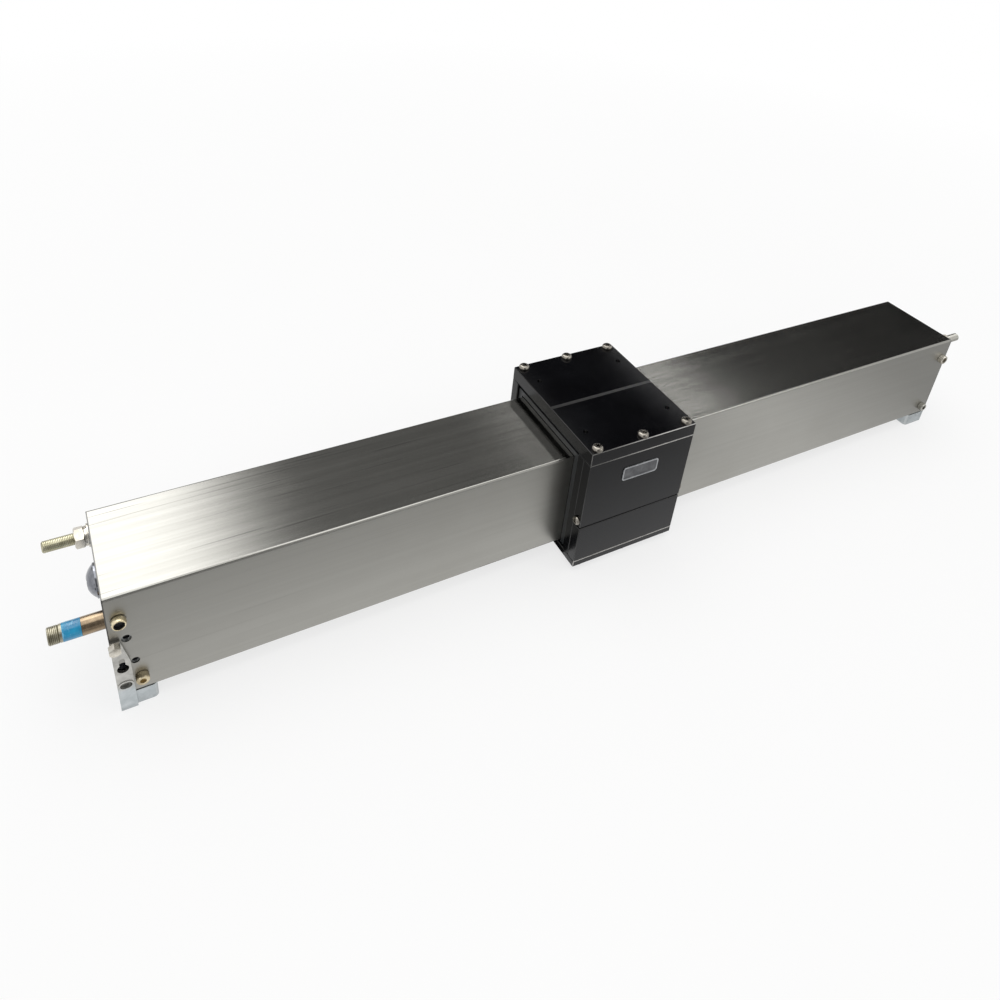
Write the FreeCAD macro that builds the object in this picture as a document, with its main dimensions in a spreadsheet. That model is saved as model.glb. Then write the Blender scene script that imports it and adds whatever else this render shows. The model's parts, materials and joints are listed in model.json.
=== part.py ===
"""Slide table cylinder: a rodless air cylinder under a stainless cover, with a boxed carriage.

Two end blocks on feet carry a cylinder tube and two guide shafts under a folded cover that is open
below. A slide block rides on the shafts. Ring magnets in it follow the magnets of a piston in the
tube. A bridge through the open underside of the cover joins the slide block to the carriage, a box
of plates round the cover that carries the load.

X runs along the stroke, -Y is the front, +Z is up. The origin lies on the mounting plane, midway
between the feet. The carriage is drawn where it stands at rest, a little left of the middle.
"""
import FreeCAD, Part
import os
import Sketcher

Vector = FreeCAD.Vector
Rotation = FreeCAD.Rotation

DIMENSIONS = [
    # Cover and feet
    ("cover_width", 82, "outside of the cover across Y"),
    ("cover_height", 90.5, "outside of the cover along Z"),
    ("cover_wall", 1.5, "sheet of the cover"),
    ("cover_bend", 2, "outside radius of the cover's folds"),
    ("cover_lip", 10.5, "width of the lips folded in at the bottom"),
    ("foot_height", 12.5, "mounting plane to the cover's underside"),
    ("foot_length", 24, "foot along X"),
    ("foot_edge", 3, "rounding of the foot's upright corners"),
    ("foot_pad_gap", 1, "room between the foot's raised pad and a lip"),
    ("foot_hole_spacing", 56, "mounting holes of one foot, across Y"),
    ("foot_hole_diameter", 6.8, "tapping drill of the mounting holes"),
    ("foot_hole_depth", 10, "depth of the mounting holes"),
    ("foot_screw_spacing", 24, "screws that hold a foot to its end block, across Y"),
    ("foot_screw_grip", 12, "length of a foot screw in the end block"),
    ("ear_width", 10.4, "ear of the foot on the cover's side, along X"),
    ("ear_tip_width", 6, "top of the ear along X"),
    ("ear_thickness", 2, "ear across Y"),
    ("ear_rise", 3.5, "ear above its bolt"),
    ("ear_taper", 21, "height over which the ear narrows"),
    ("ear_inset", 5.3, "hole and slot of the ear, from the end"),
    ("ear_hole_diameter", 7.2, "round hole in the ear"),
    ("ear_hole_height", 27.4, "round hole above the cover's underside"),
    ("ear_slot_height", 11.4, "slot above the cover's underside"),
    ("ear_slot_width", 5.4, "slot of the ear along Z"),
    ("ear_slot_travel", 2, "distance between the slot's two round ends"),
    ("ear_boss_rim", 1.2, "raised rim round the slot"),
    ("ear_boss_height", 0.5, "raised rim in front of the ear"),
    ("keyhole_width", 3.6, "narrow slot above the round hole, along X"),
    ("keyhole_rise", 7.6, "top of the narrow slot above the round hole's middle"),
    # Stroke and stops
    ("stroke", 600, "travel of the carriage between its stops"),
    ("rest_offset", -11.5, "carriage at rest, from the middle of the stroke"),
    ("stop_gap", 0.3, "slide block to bumper at the end of the stroke"),
    ("stop_reach", 28.7, "bumper face beyond the end block"),
    ("stop_diameter", 8, "stop bolt"),
    ("stop_overhang", 28.8, "stop bolt outside the end"),
    ("stop_edge", 8, "stop bolt from the side of the slide block"),
    ("stop_rise", 13.6, "stop bolt above the tube's axis"),
    ("stop_nut_width", 13, "lock nut across its flats"),
    ("stop_nut_height", 6.5, "lock nut along X"),
    ("stop_washer_diameter", 16, "flat washer under the lock nut"),
    ("stop_washer_thickness", 1.2, "flat washer"),
    ("spring_washer_diameter", 13.6, "spring washer under the lock nut"),
    ("spring_washer_thickness", 1.6, "spring washer"),
    ("bumper_diameter", 13, "rubber bumper on the stop bolt"),
    ("bumper_length", 10, "rubber bumper along X"),
    ("bumper_wall", 5, "rubber in front of the stop bolt"),
    # End blocks and what they hold
    ("end_thickness", 22, "end block along X"),
    ("end_chamfer", 2, "long edges of an end block"),
    ("fit_gap", 0.1, "room round a fixed piece in its seat"),
    ("tube_bore", 20, "bore of the cylinder tube"),
    ("tube_wall", 1.5, "wall of the cylinder tube"),
    ("tube_seat", 11, "tube inside an end block"),
    ("seal_depth", 1.5, "O-ring groove in the tube's seat"),
    ("seal_width", 2.6, "O-ring groove along X"),
    ("seal_inset", 5.5, "O-ring from the inner face of the end block"),
    ("chamber_diameter", 16, "air chamber behind the tube"),
    ("cap_depth", 5, "threaded part of the end cap"),
    ("cap_diameter", 23.4, "flange of the end cap"),
    ("cap_flange", 1.6, "flange of the end cap along X"),
    ("cap_dome_diameter", 22, "dome of the end cap"),
    ("cap_dome", 5.4, "dome of the end cap along X"),
    ("cap_socket", 8, "hexagon socket of the end cap, across its flats"),
    ("cap_socket_depth", 4, "hexagon socket of the end cap"),
    ("port_inset", 7.5, "air port from the end"),
    ("port_rise", 3.9, "air port above the tube's axis"),
    ("port_diameter", 8, "thread of the air port"),
    ("port_depth", 8, "thread of the air port, across Y"),
    ("port_passage", 4.5, "drilling from the port to the chamber"),
    ("fitting_diameter", 9.4, "body of the air fitting"),
    ("fitting_height", 5, "body of the air fitting outside the cover"),
    ("fitting_rounding", 1.1, "rounded mouth of the air fitting"),
    ("fitting_lip", 1.8, "air fitting between its groove and its mouth"),
    ("fitting_groove_width", 0.8, "groove round the air fitting"),
    ("fitting_groove_depth", 0.4, "groove round the air fitting"),
    ("fitting_bore", 6.1, "bore for the air hose"),
    ("fitting_bore_depth", 10, "depth of that bore"),
    ("plug_height", 4.8, "head of the port plug outside the cover"),
    ("plug_socket", 5, "hexagon socket of the port plug, across its flats"),
    ("plug_socket_depth", 3.6, "hexagon socket of the port plug"),
    ("sensor_diameter", 12, "barrel of the proximity sensor"),
    ("sensor_edge", 13.2, "sensor from the side of the slide block"),
    ("sensor_drop", 11.7, "sensor below the tube's axis"),
    ("sensor_gap", 2, "sensor face to slide block at the end of the stroke"),
    ("sensor_bare", 13.5, "plain barrel outside the end"),
    ("sensor_label", 10.9, "label band along X"),
    ("sensor_label_thickness", 0.2, "label band, in a shallow recess"),
    ("sensor_plug", 8.4, "connector along X"),
    ("sensor_socket", 8, "hollow of the connector"),
    ("sensor_socket_depth", 6.5, "depth of that hollow"),
    ("sensor_nut_width", 17, "sensor nut across its flats"),
    ("sensor_nut_height", 4, "sensor nut along X"),
    ("ear_bolt_inset", 2.6, "ear bolt from the end"),
    ("ear_bolt_drop", 16.5, "ear bolt below the tube's axis"),
    ("ear_bolt_diameter", 4, "ear bolt"),
    ("ear_bolt_grip", 10, "ear bolt in the end block"),
    ("ear_bolt_width", 7, "ear bolt's head across its flats"),
    ("ear_bolt_head", 5, "ear bolt's head"),
    ("tap_diameter", 4.2, "spare tapped holes in the end block"),
    ("tap_depth", 8, "spare tapped holes"),
    ("tap_window", 6.3, "hole in the cover over the upper spare hole"),
    ("lower_tap_window", 5.4, "hole in the cover over the lower spare hole"),
    ("upper_tap_inset", 10.2, "upper spare hole from the end"),
    ("upper_tap_drop", 14.6, "upper spare hole below the tube's axis"),
    ("lower_tap_inset", 13.3, "lower spare hole from the end"),
    ("lower_tap_drop", 6, "lower spare hole below the shafts' axes"),
    ("cover_screw_inset", 15.6, "cover screw beside the ear, from the end"),
    ("cover_screw_height", 13.3, "that screw above the cover's underside"),
    ("far_screw_inset", 10, "cover screw on the side without the ear, from the end"),
    ("far_screw_height", 10.3, "that screw above the cover's underside"),
    ("cover_screw_grip", 9, "cover screw in the end block"),
    ("cover_screw_diameter", 5, "cover screws"),
    ("cover_screw_head", 8.6, "heads of the cover screws"),
    ("cover_screw_head_height", 4.8, "heads of the cover screws, across Y"),
    # Guide
    ("shaft_diameter", 14, "guide shafts"),
    ("shaft_edge", 13.2, "shaft from the side and the bottom of the slide block"),
    ("shaft_drop", 31.1, "shafts below the tube's axis"),
    ("shaft_seat", 13, "shaft inside an end block"),
    ("shaft_chamfer", 1, "ends of the shafts"),
    ("shaft_screw_diameter", 6, "screw in the end of a shaft"),
    ("shaft_screw_grip", 11, "that screw inside the shaft"),
    ("shaft_screw_recess", 5.6, "recess for that screw's head"),
    ("bush_wall", 2.5, "guide bush"),
    ("bush_length", 28, "guide bush along X"),
    ("bush_groove_width", 3, "grease groove inside a guide bush"),
    ("bush_groove_depth", 0.8, "grease groove inside a guide bush"),
    ("running_gap", 0.05, "guide bush round its shaft"),
    ("slide_length", 98, "slide block along X"),
    ("slide_side_gap", 3.2, "slide block to the cover's side"),
    ("slide_roof_gap", 2, "slide block to the cover's roof"),
    ("slide_chamfer", 3, "long edges of the slide block"),
    ("slide_roof", 3.4, "slide block above the ring magnets"),
    # Magnets
    ("magnet_count", 4, "magnets in each stack"),
    ("magnet_length", 10.5, "magnet along X"),
    ("yoke_length", 3.6, "yoke along X"),
    ("ring_gap", 0.5, "ring magnets round the tube"),
    ("ring_wall", 5, "ring magnets"),
    ("retainer_gap", 0.3, "magnet retainer round the tube"),
    ("spanner_hole", 3, "two holes of a magnet retainer for a pin spanner"),
    ("spanner_depth", 4, "depth of those holes"),
    # Piston
    ("piston_gap", 0.4, "piston inside the tube"),
    ("piston_rod_diameter", 7, "rod through the piston"),
    ("piston_head_length", 11, "piston head along X"),
    ("piston_end_wall", 2, "piston head beyond the rod"),
    ("piston_nose", 1.5, "chamfered end of a piston head"),
    ("piston_seal_width", 2.6, "piston seal along X"),
    ("piston_seal_depth", 2, "piston seal across its section"),
    # Carriage
    ("carriage_length", 100, "carriage along X"),
    ("front_gap", 7, "cover to the inner side plate"),
    ("side_plate", 8, "inner side plate across Y"),
    ("front_plate", 9, "front plates across Y"),
    ("rear_gap", 6, "cover to the rear plate"),
    ("rear_plate", 9, "rear plate across Y"),
    ("top_gap", 9.5, "cover to the top plate"),
    ("top_plate", 11.5, "top plate along Z"),
    ("bottom_gap", 0.8, "cover to the bottom plate"),
    ("bottom_plate", 6, "bottom plate along Z"),
    ("plate_edge", 0.5, "broken edges of the plates"),
    ("split_height", 42.5, "front split above the carriage's underside"),
    ("split_gap", 1.1, "front split along Z"),
    ("groove_width", 3.2, "V groove of the top plate across Y"),
    ("groove_depth", 1.6, "V groove of the top plate along Z"),
    ("payload_pitch_length", 80, "tapped holes of the top plate, along X"),
    ("payload_pitch_depth", 70, "tapped holes of the top plate, across Y"),
    ("payload_hole_diameter", 4.2, "tapping drill of those holes"),
    ("wiper_gap", 0.4, "wiper frame round the cover"),
    ("wiper_rise", 4.6, "wiper frame above the cover"),
    ("wiper_length", 5.5, "wiper frame along X"),
    ("wiper_inset", 2, "wiper frame from the end of the carriage"),
    ("bridge_length", 70, "bridge block along X"),
    ("bridge_side_gap", 5.5, "bridge block to a lip of the cover"),
    ("bridge_chamfer", 2, "upright edges of the bridge block"),
    # Screws of the carriage
    ("plate_screw_diameter", 5, "screws of the plates"),
    ("plate_screw_grip", 13, "plate screw in the plate below or above"),
    ("plate_screw_inset", 7.1, "outer plate screws from the carriage's ends"),
    ("pan_head_diameter", 9, "pan heads on the top plate"),
    ("pan_head_height", 3.5, "pan heads on the top plate"),
    ("sunk_head_diameter", 8.6, "countersunk heads under the bottom plate"),
    ("sunk_head_height", 2.5, "countersunk heads"),
    ("side_screw_grip", 6, "side plate screw in a front plate"),
    ("side_screw_recess", 4.4, "recess for a side plate screw's head"),
    ("side_screw_head", 8.5, "head of a side plate screw"),
    ("side_screw_spacing", 54, "side plate screws along X"),
    ("side_screw_margin", 20, "side plate screws from the plates' ends and the split"),
    ("small_screw_diameter", 4, "end screws of the carriage"),
    ("small_head_diameter", 7.6, "heads of those"),
    ("small_head_height", 2.8, "heads of those"),
    ("end_screw_rise", 5.3, "end screws above the front split"),
    ("end_screw_grip", 11, "end screw in the front plate"),
    ("cap_screw_diameter", 6, "bridge bolts and foot screws"),
    ("cap_head_diameter", 10, "heads of the socket screws"),
    ("cap_head_height", 3.5, "low heads of the bridge bolts and foot screws"),
    ("bridge_bolt_grip", 12, "bridge bolt in the slide block"),
    ("bridge_bolt_spacing", 50, "bridge bolts along X"),
    ("bridge_bolt_wall", 3, "metal between a bridge bolt and a bush"),
]

# Places worked out from the driving dimensions, as formulas
half_length = ("(dims.stroke / 2 + dims.slide_length / 2 + dims.stop_gap + dims.stop_reach"
               " + dims.end_thickness)")
half_width = "(dims.cover_width / 2)"
cover_floor = "dims.foot_height"
cover_top = "(dims.foot_height + dims.cover_height)"
inner_half = "(dims.cover_width / 2 - dims.cover_wall)"
inner_floor = "(dims.foot_height + dims.cover_wall)"
inner_roof = "(dims.foot_height + dims.cover_height - dims.cover_wall)"

block_half = f"({inner_half} - dims.fit_gap)"
block_floor = f"({inner_floor} + dims.fit_gap)"
block_roof = f"({inner_roof} - dims.fit_gap)"

tube_radius = "(dims.tube_bore / 2 + dims.tube_wall)"
ring_inner = f"({tube_radius} + dims.ring_gap)"
ring_outer = f"({ring_inner} + dims.ring_wall)"
slide_half = f"({inner_half} - dims.slide_side_gap)"
slide_top = f"({inner_roof} - dims.slide_roof_gap)"
tube_height = f"({slide_top} - dims.slide_roof - {ring_outer} - dims.fit_gap)"
shaft_height = f"({tube_height} - dims.shaft_drop)"
slide_floor = f"({shaft_height} - dims.shaft_edge)"
shaft_offset = f"({slide_half} - dims.shaft_edge)"
shaft_radius = "(dims.shaft_diameter / 2)"
bush_inner = f"({shaft_radius} + dims.running_gap)"
bush_outer = f"({bush_inner} + dims.bush_wall)"

stop_offset = f"({slide_half} - dims.stop_edge)"
stop_height = f"({tube_height} + dims.stop_rise)"
stop_face = "(dims.end_thickness + dims.stop_reach)"
sensor_offset = f"({slide_half} - dims.sensor_edge)"
sensor_height = f"({tube_height} - dims.sensor_drop)"
sensor_face = f"({stop_face} + dims.stop_gap - dims.sensor_gap)"
port_height = f"({tube_height} + dims.port_rise)"
ear_bolt_height = f"({tube_height} - dims.ear_bolt_drop)"
upper_tap_height = f"({tube_height} - dims.upper_tap_drop)"
lower_tap_height = f"({shaft_height} - dims.lower_tap_drop)"
cover_screw_height = f"({cover_floor} + dims.cover_screw_height)"
far_screw_height = f"({cover_floor} + dims.far_screw_height)"
ear_hole_height = f"({cover_floor} + dims.ear_hole_height)"
ear_slot_height = f"({cover_floor} + dims.ear_slot_height)"
foot_middle = "(dims.foot_length / 2)"

half_carriage = "(dims.carriage_length / 2)"
front_inner = f"(-{half_width} - dims.front_gap)"
front_joint = f"({front_inner} - dims.side_plate)"
front_outer = f"({front_joint} - dims.front_plate)"
rear_inner = f"({half_width} + dims.rear_gap)"
rear_outer = f"({rear_inner} + dims.rear_plate)"
carriage_middle = f"(({front_outer} + {rear_outer}) / 2)"
roof_low = f"({cover_top} + dims.top_gap)"
roof_top = f"({roof_low} + dims.top_plate)"
floor_top = f"({cover_floor} - dims.bottom_gap)"
floor_low = f"({floor_top} - dims.bottom_plate)"
split_middle = f"({floor_low} + dims.split_height)"
split_low = f"({split_middle} - dims.split_gap / 2)"
split_high = f"({split_middle} + dims.split_gap / 2)"
front_screw_line = f"({front_outer} + dims.front_plate / 2)"
rear_screw_line = f"({rear_outer} - dims.rear_plate / 2)"
bridge_half = "(dims.cover_width / 2 - dims.cover_lip - dims.bridge_side_gap)"
bridge_bolt_line = (f"({shaft_offset} - {bush_outer} - dims.bridge_bolt_wall - dims.cap_screw_diameter / 2"
                    " - 2 * dims.fit_gap)")
end_screw_height = f"({split_high} + dims.end_screw_rise)"

stack_pitch = "(dims.magnet_length + dims.yoke_length)"
half_stack = f"((dims.magnet_count * {stack_pitch} + dims.yoke_length) / 2)"
piston_radius = "(dims.tube_bore / 2 - dims.piston_gap)"
piston_half = f"({half_stack} + dims.piston_head_length)"

ALONG_X = Rotation(Vector(0, 1, 0), 90)
ALONG_Y = Rotation(Vector(1, 0, 0), -90)
UPRIGHT = Rotation()
HALF_TURN = Rotation(Vector(0, 0, 1), 180)
INTO_FRONT = Rotation(Vector(0, 0, 1), 90)
INTO_REAR = Rotation(Vector(0, 0, 1), -90)
INTO_TOP = Rotation(Vector(0, 1, 0), 90)
INTO_FLOOR = Rotation(Vector(0, 1, 0), -90)
SMALL = 1e-4

# Millimetres that a cutting tool runs past the face it enters
OVERRUN = "1"

doc = FreeCAD.newDocument("slide_table_cylinder")
dims = doc.addObject("Spreadsheet::Sheet", "dims")
for row, (alias, value, meaning) in enumerate(DIMENSIONS, start=1):
    dims.set(f"A{row}", meaning)
    dims.set(f"B{row}", str(value))
    dims.setAlias(f"B{row}", alias)
doc.recompute()

pieces = []


def number(formula):
    """Value of a formula on the sheet, in millimetres."""
    return float(dims.evalExpression(formula))


def less(formula, other):
    return f"({formula} - {other})"


def more(formula, other):
    return f"({formula} + {other})"


def minus(formula):
    return f"(-1 * {formula})"


def settle(obj, x, y, z, turn=UPRIGHT):
    """Bind an object's place to three formulas."""
    obj.Placement = FreeCAD.Placement(Vector(), turn)
    obj.setExpression("Placement.Base.x", x)
    obj.setExpression("Placement.Base.y", y)
    obj.setExpression("Placement.Base.z", z)
    return obj


def box(x, y, z):
    """Block between pairs of formulas, used to cut."""
    block = doc.addObject("Part::Box", "block")
    block.setExpression("Length", less(x[1], x[0]))
    block.setExpression("Width", less(y[1], y[0]))
    block.setExpression("Height", less(z[1], z[0]))
    return settle(block, x[0], y[0], z[0])


def rod(axis, centre, span, radius):
    """Cylinder along an axis; centre gives the two other coordinates, in X, Y, Z order."""
    cylinder = doc.addObject("Part::Cylinder", "rod")
    cylinder.setExpression("Radius", radius)
    cylinder.setExpression("Height", less(span[1], span[0]))
    first, second = centre
    if axis == "x":
        return settle(cylinder, span[0], first, second, ALONG_X)
    if axis == "y":
        return settle(cylinder, first, span[0], second, ALONG_Y)
    return settle(cylinder, first, second, span[0])


def hexagon(across_flats, span):
    """Hexagonal bar along X."""
    prism = doc.addObject("Part::Prism", "hexagon")
    prism.Polygon = 6
    prism.setExpression("Circumradius", f"({across_flats} / sqrt(3))")
    prism.setExpression("Height", less(span[1], span[0]))
    return settle(prism, span[0], "0", "0", ALONG_X)


def join(name, parts):
    fusion = doc.addObject("Part::MultiFuse", name)
    fusion.Shapes = parts
    return fusion


def cut(name, blank, tools):
    """A blank less its tools."""
    result = doc.addObject("Part::Cut", name)
    result.Base = blank
    result.Tool = tools[0] if len(tools) == 1 else join("tools", tools)
    return result


def outline(body, plane, corners, height):
    """Closed sketch on an origin plane, raised by height, each corner held by two formulas."""
    sketch = body.newObject("Sketcher::SketchObject", "outline")
    support = next(item for item in body.Origin.OriginFeatures if item.Role == plane)
    sketch.AttachmentSupport = (support, [""])
    sketch.MapMode = "FlatFace"
    sketch.setExpression("AttachmentOffset.Base.z", height)
    points = [Vector(number(first), number(second)) for first, second in corners]
    count = len(points)
    for index, point in enumerate(points):
        sketch.addGeometry(Part.LineSegment(point, points[(index + 1) % count]), False)
    for index in range(count):
        sketch.addConstraint(Sketcher.Constraint("Coincident", index, 2, (index + 1) % count, 1))
    for index, (first, second) in enumerate(corners):
        across = Sketcher.Constraint("DistanceX", -1, 1, index, 1, points[index].x)
        sketch.setExpression(f"Constraints[{sketch.addConstraint(across)}]", first)
        upward = Sketcher.Constraint("DistanceY", -1, 1, index, 1, points[index].y)
        sketch.setExpression(f"Constraints[{sketch.addConstraint(upward)}]", second)
    return sketch


def extrusion(name, axis, corners, span):
    """Body padded along an axis from a polygon in the two other coordinates."""
    body = doc.addObject("PartDesign::Body", name)
    plane = {"x": "YZ_Plane", "y": "XZ_Plane", "z": "XY_Plane"}[axis]
    start = minus(span[1]) if axis == "y" else span[0]
    pad = body.newObject("PartDesign::Pad", "pad")
    pad.Profile = outline(body, plane, corners, start)
    pad.setExpression("Length", less(span[1], span[0]))
    doc.recompute()
    return body


def turning(name, corners):
    """Body turned about X from a polygon of pairs: place along X, radius."""
    body = doc.addObject("PartDesign::Body", name)
    sketch = outline(body, "XY_Plane", corners, "0")
    turned = body.newObject("PartDesign::Revolution", "turned")
    turned.Profile = sketch
    turned.ReferenceAxis = (sketch, ["H_Axis"])
    turned.Angle = 360
    doc.recompute()
    return body


def soften(body, feature, size, wanted):
    """Round or chamfer those edges of a body that a test picks."""
    base = body.Tip
    names = [f"Edge{index}" for index, edge in enumerate(base.Shape.Edges, start=1) if wanted(edge)]
    softened = body.newObject(f"PartDesign::{feature}", feature.lower())
    softened.Base = (base, names)
    softened.setExpression("Radius" if feature == "Fillet" else "Size", size)
    doc.recompute()
    return body


def runs_along(axis):
    """Test for straight edges along one axis."""
    direction = {"x": Vector(1, 0, 0), "y": Vector(0, 1, 0), "z": Vector(0, 0, 1)}[axis]

    def test(edge):
        if edge.Curve.TypeId != "Part::GeomLine":
            return False
        return abs(abs(edge.Curve.Direction.dot(direction)) - 1) < SMALL

    return test


def circle_at(place, radius):
    """Test for the round edge of a turned body at a place along X, with that radius."""
    def test(edge):
        if edge.Curve.TypeId != "Part::GeomCircle":
            return False
        at_place = abs(edge.Curve.Center.x - number(place)) < SMALL
        return at_place and abs(edge.Curve.Radius - number(radius)) < SMALL

    return test


def rectangle(first, second):
    return [(first[0], second[0]), (first[1], second[0]), (first[1], second[1]), (first[0], second[1])]


def slab(name, x, y, z):
    """Machined plate with all its edges broken."""
    body = extrusion(name, "z", rectangle(x, y), z)
    return soften(body, "Chamfer", "dims.plate_edge", lambda edge: True)


def ring(name, span, inner, outer):
    return turning(name, rectangle(span, (inner, outer)))


def piece(label, obj, x="0"):
    """Name a finished sub-part and bind its place along the stroke."""
    obj.Label = label
    settle(obj, x, "0", "0")
    pieces.append(obj)
    return obj


def copies(label, model, places, x="0"):
    """Sub-part made of one model, or of several alike, each at its own place."""
    links = []
    for number_in_group, (along, across, up, turn) in enumerate(places, start=1):
        link = doc.addObject("App::Link", f"{label}_{number_in_group}")
        link.LinkedObject = model
        links.append(settle(link, along, across, up, turn))
    group = doc.addObject("Part::Compound", label)
    group.Links = links
    return piece(label, group, x)


def at_end(end, x="0", y="0", z="0", turn=UPRIGHT):
    """A place measured from an end of the cover. The right end is the left end turned half round."""
    if end == "left":
        return (f"({x} - {half_length})", y, z, turn)
    return (f"({half_length} - {x})", minus(y), z, HALF_TURN * turn)


def at_both_ends(x="0", y="0", z="0", turn=UPRIGHT):
    return [at_end(end, x, y, z, turn) for end in ENDS]


ENDS = ("left", "right")
WHOLE = (f"(-{half_width} - dims.fit_gap)", f"({half_width} + dims.fit_gap)")
FRONT_WALL = (less(minus(half_width), OVERRUN), more(minus(inner_half), OVERRUN))
REAR_WALL = (less(inner_half, OVERRUN), more(half_width, OVERRUN))
FRONT_SKIN = minus(half_width)
cover_to_block = "(dims.cover_wall + dims.fit_gap)"


def into_block(depth):
    """Span of a hole in the front side of an end block."""
    return (less(minus(block_half), OVERRUN), more(minus(block_half), depth))


def into_block_rear(depth):
    return (less(block_half, depth), more(block_half, OVERRUN))


def loose(diameter):
    """Radius of a hole with room for a round piece of this diameter."""
    return f"({diameter} / 2 + dims.fit_gap)"


def screw_rows():
    """Places along X of the three plate screws of a row."""
    outer = f"({half_carriage} - dims.plate_screw_inset)"
    return [minus(outer), "0", outer]


def make_cover():
    """Folded cover, open below between its two lips, drilled at both ends."""
    lip_end = less(half_width, "dims.cover_lip")
    profile = [
        (minus(lip_end), cover_floor), (minus(half_width), cover_floor), (minus(half_width), cover_top),
        (half_width, cover_top), (half_width, cover_floor), (lip_end, cover_floor),
        (lip_end, inner_floor), (inner_half, inner_floor), (inner_half, inner_roof),
        (minus(inner_half), inner_roof), (minus(inner_half), inner_floor), (minus(lip_end), inner_floor),
    ]
    sheet = extrusion("cover_sheet", "x", profile, (minus(half_length), half_length))
    long_edge = runs_along("x")

    def outside_fold(edge):
        return long_edge(edge) and abs(abs(edge.CenterOfMass.y) - number(half_width)) < SMALL

    def inside_fold(edge):
        return long_edge(edge) and abs(abs(edge.CenterOfMass.y) - number(inner_half)) < SMALL

    soften(sheet, "Fillet", "dims.cover_bend", outside_fold)
    soften(sheet, "Fillet", "(dims.cover_bend - dims.cover_wall)", inside_fold)
    front = [
        ("dims.port_inset", port_height, loose("dims.fitting_diameter")),
        ("dims.ear_bolt_inset", ear_bolt_height, loose("dims.ear_bolt_diameter")),
        ("dims.upper_tap_inset", upper_tap_height, "(dims.tap_window / 2)"),
        ("dims.lower_tap_inset", lower_tap_height, "(dims.lower_tap_window / 2)"),
        ("dims.ear_inset", ear_hole_height, "(dims.ear_hole_diameter / 2)"),
        ("dims.cover_screw_inset", cover_screw_height, loose("dims.cover_screw_diameter")),
    ]
    rear = [
        ("dims.port_inset", port_height, loose("dims.fitting_diameter")),
        ("dims.far_screw_inset", far_screw_height, loose("dims.cover_screw_diameter")),
    ]
    drills = []
    for wall, holes in ((FRONT_WALL, front), (REAR_WALL, rear)):
        drills += [rod("y", (inset, height), wall, radius) for inset, height, radius in holes]
    drilling = join("cover_drilling", drills)
    links = []
    for end in ENDS:
        link = doc.addObject("App::Link", f"cover_drilling_{end}")
        link.LinkedObject = drilling
        links.append(settle(link, *at_end(end)))
    piece("cover", cut("cover_drilled", sheet, links))


def make_end_blocks():
    """Block that closes an end of the cover and holds the tube, the shafts, the stop and the sensor."""
    blank = extrusion("end_block_blank", "x",
                      rectangle((minus(block_half), block_half), (block_floor, block_roof)),
                      ("0", "dims.end_thickness"))
    soften(blank, "Chamfer", "dims.end_chamfer", runs_along("x"))
    inner = more("dims.end_thickness", OVERRUN)
    through = (minus(OVERRUN), inner)
    tube_axis = ("0", tube_height)
    seal_middle = "(dims.end_thickness - dims.seal_inset)"
    seal_span = (f"({seal_middle} - dims.seal_width / 2)", f"({seal_middle} + dims.seal_width / 2)")
    drills = [
        rod("x", tube_axis, ("(dims.end_thickness - dims.tube_seat)", inner),
            more(tube_radius, "dims.fit_gap")),
        rod("x", tube_axis, through, "(dims.chamber_diameter / 2)"),
        rod("x", tube_axis, seal_span, more(tube_radius, "dims.seal_depth")),
        rod("x", (stop_offset, stop_height), through, loose("dims.stop_diameter")),
        rod("x", (minus(sensor_offset), sensor_height), through, loose("dims.sensor_diameter")),
        rod("y", ("dims.port_inset", port_height), WHOLE, "(dims.port_passage / 2)"),
        rod("y", ("dims.ear_bolt_inset", ear_bolt_height), into_block("dims.ear_bolt_grip"),
            loose("dims.ear_bolt_diameter")),
        rod("y", ("dims.upper_tap_inset", upper_tap_height), into_block("dims.tap_depth"),
            "(dims.tap_diameter / 2)"),
        rod("y", ("dims.lower_tap_inset", lower_tap_height), into_block("dims.tap_depth"),
            "(dims.tap_diameter / 2)"),
        rod("y", ("dims.ear_inset", ear_hole_height), into_block("dims.tap_depth"),
            "(dims.ear_hole_diameter / 2)"),
    ]
    for side in (minus(shaft_offset), shaft_offset):
        axis = (side, shaft_height)
        seat = ("(dims.end_thickness - dims.shaft_seat)", inner)
        drills.append(rod("x", axis, seat, loose("dims.shaft_diameter")))
        drills.append(rod("x", axis, through, loose("dims.shaft_screw_diameter")))
        drills.append(rod("x", axis, (minus(OVERRUN), "dims.shaft_screw_recess"),
                          loose("dims.cap_head_diameter")))
    cover_taps = [("dims.cover_screw_inset", cover_screw_height),
                  ("dims.far_screw_inset", far_screw_height)]
    for span_of, cover_tap in zip((into_block, into_block_rear), cover_taps):
        drills.append(rod("y", ("dims.port_inset", port_height), span_of("dims.port_depth"),
                          "(dims.port_diameter / 2)"))
        drills.append(rod("y", cover_tap, span_of("dims.cover_screw_grip"),
                          loose("dims.cover_screw_diameter")))
    for side in foot_screw_places():
        drills.append(rod("z", (foot_middle, side), (less(block_floor, OVERRUN), foot_screw_end),
                          loose("dims.cap_screw_diameter")))
    block = cut("end_block", blank, drills)
    for end in ENDS:
        copies(f"end_block_{end}", block, [at_end(end)])


def foot_screw_places():
    return [minus("(dims.foot_screw_spacing / 2)"), "(dims.foot_screw_spacing / 2)"]


foot_screw_end = f"({block_floor} + dims.foot_screw_grip + dims.fit_gap)"
foot_recess = "(dims.cap_head_height + dims.fit_gap)"


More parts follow.
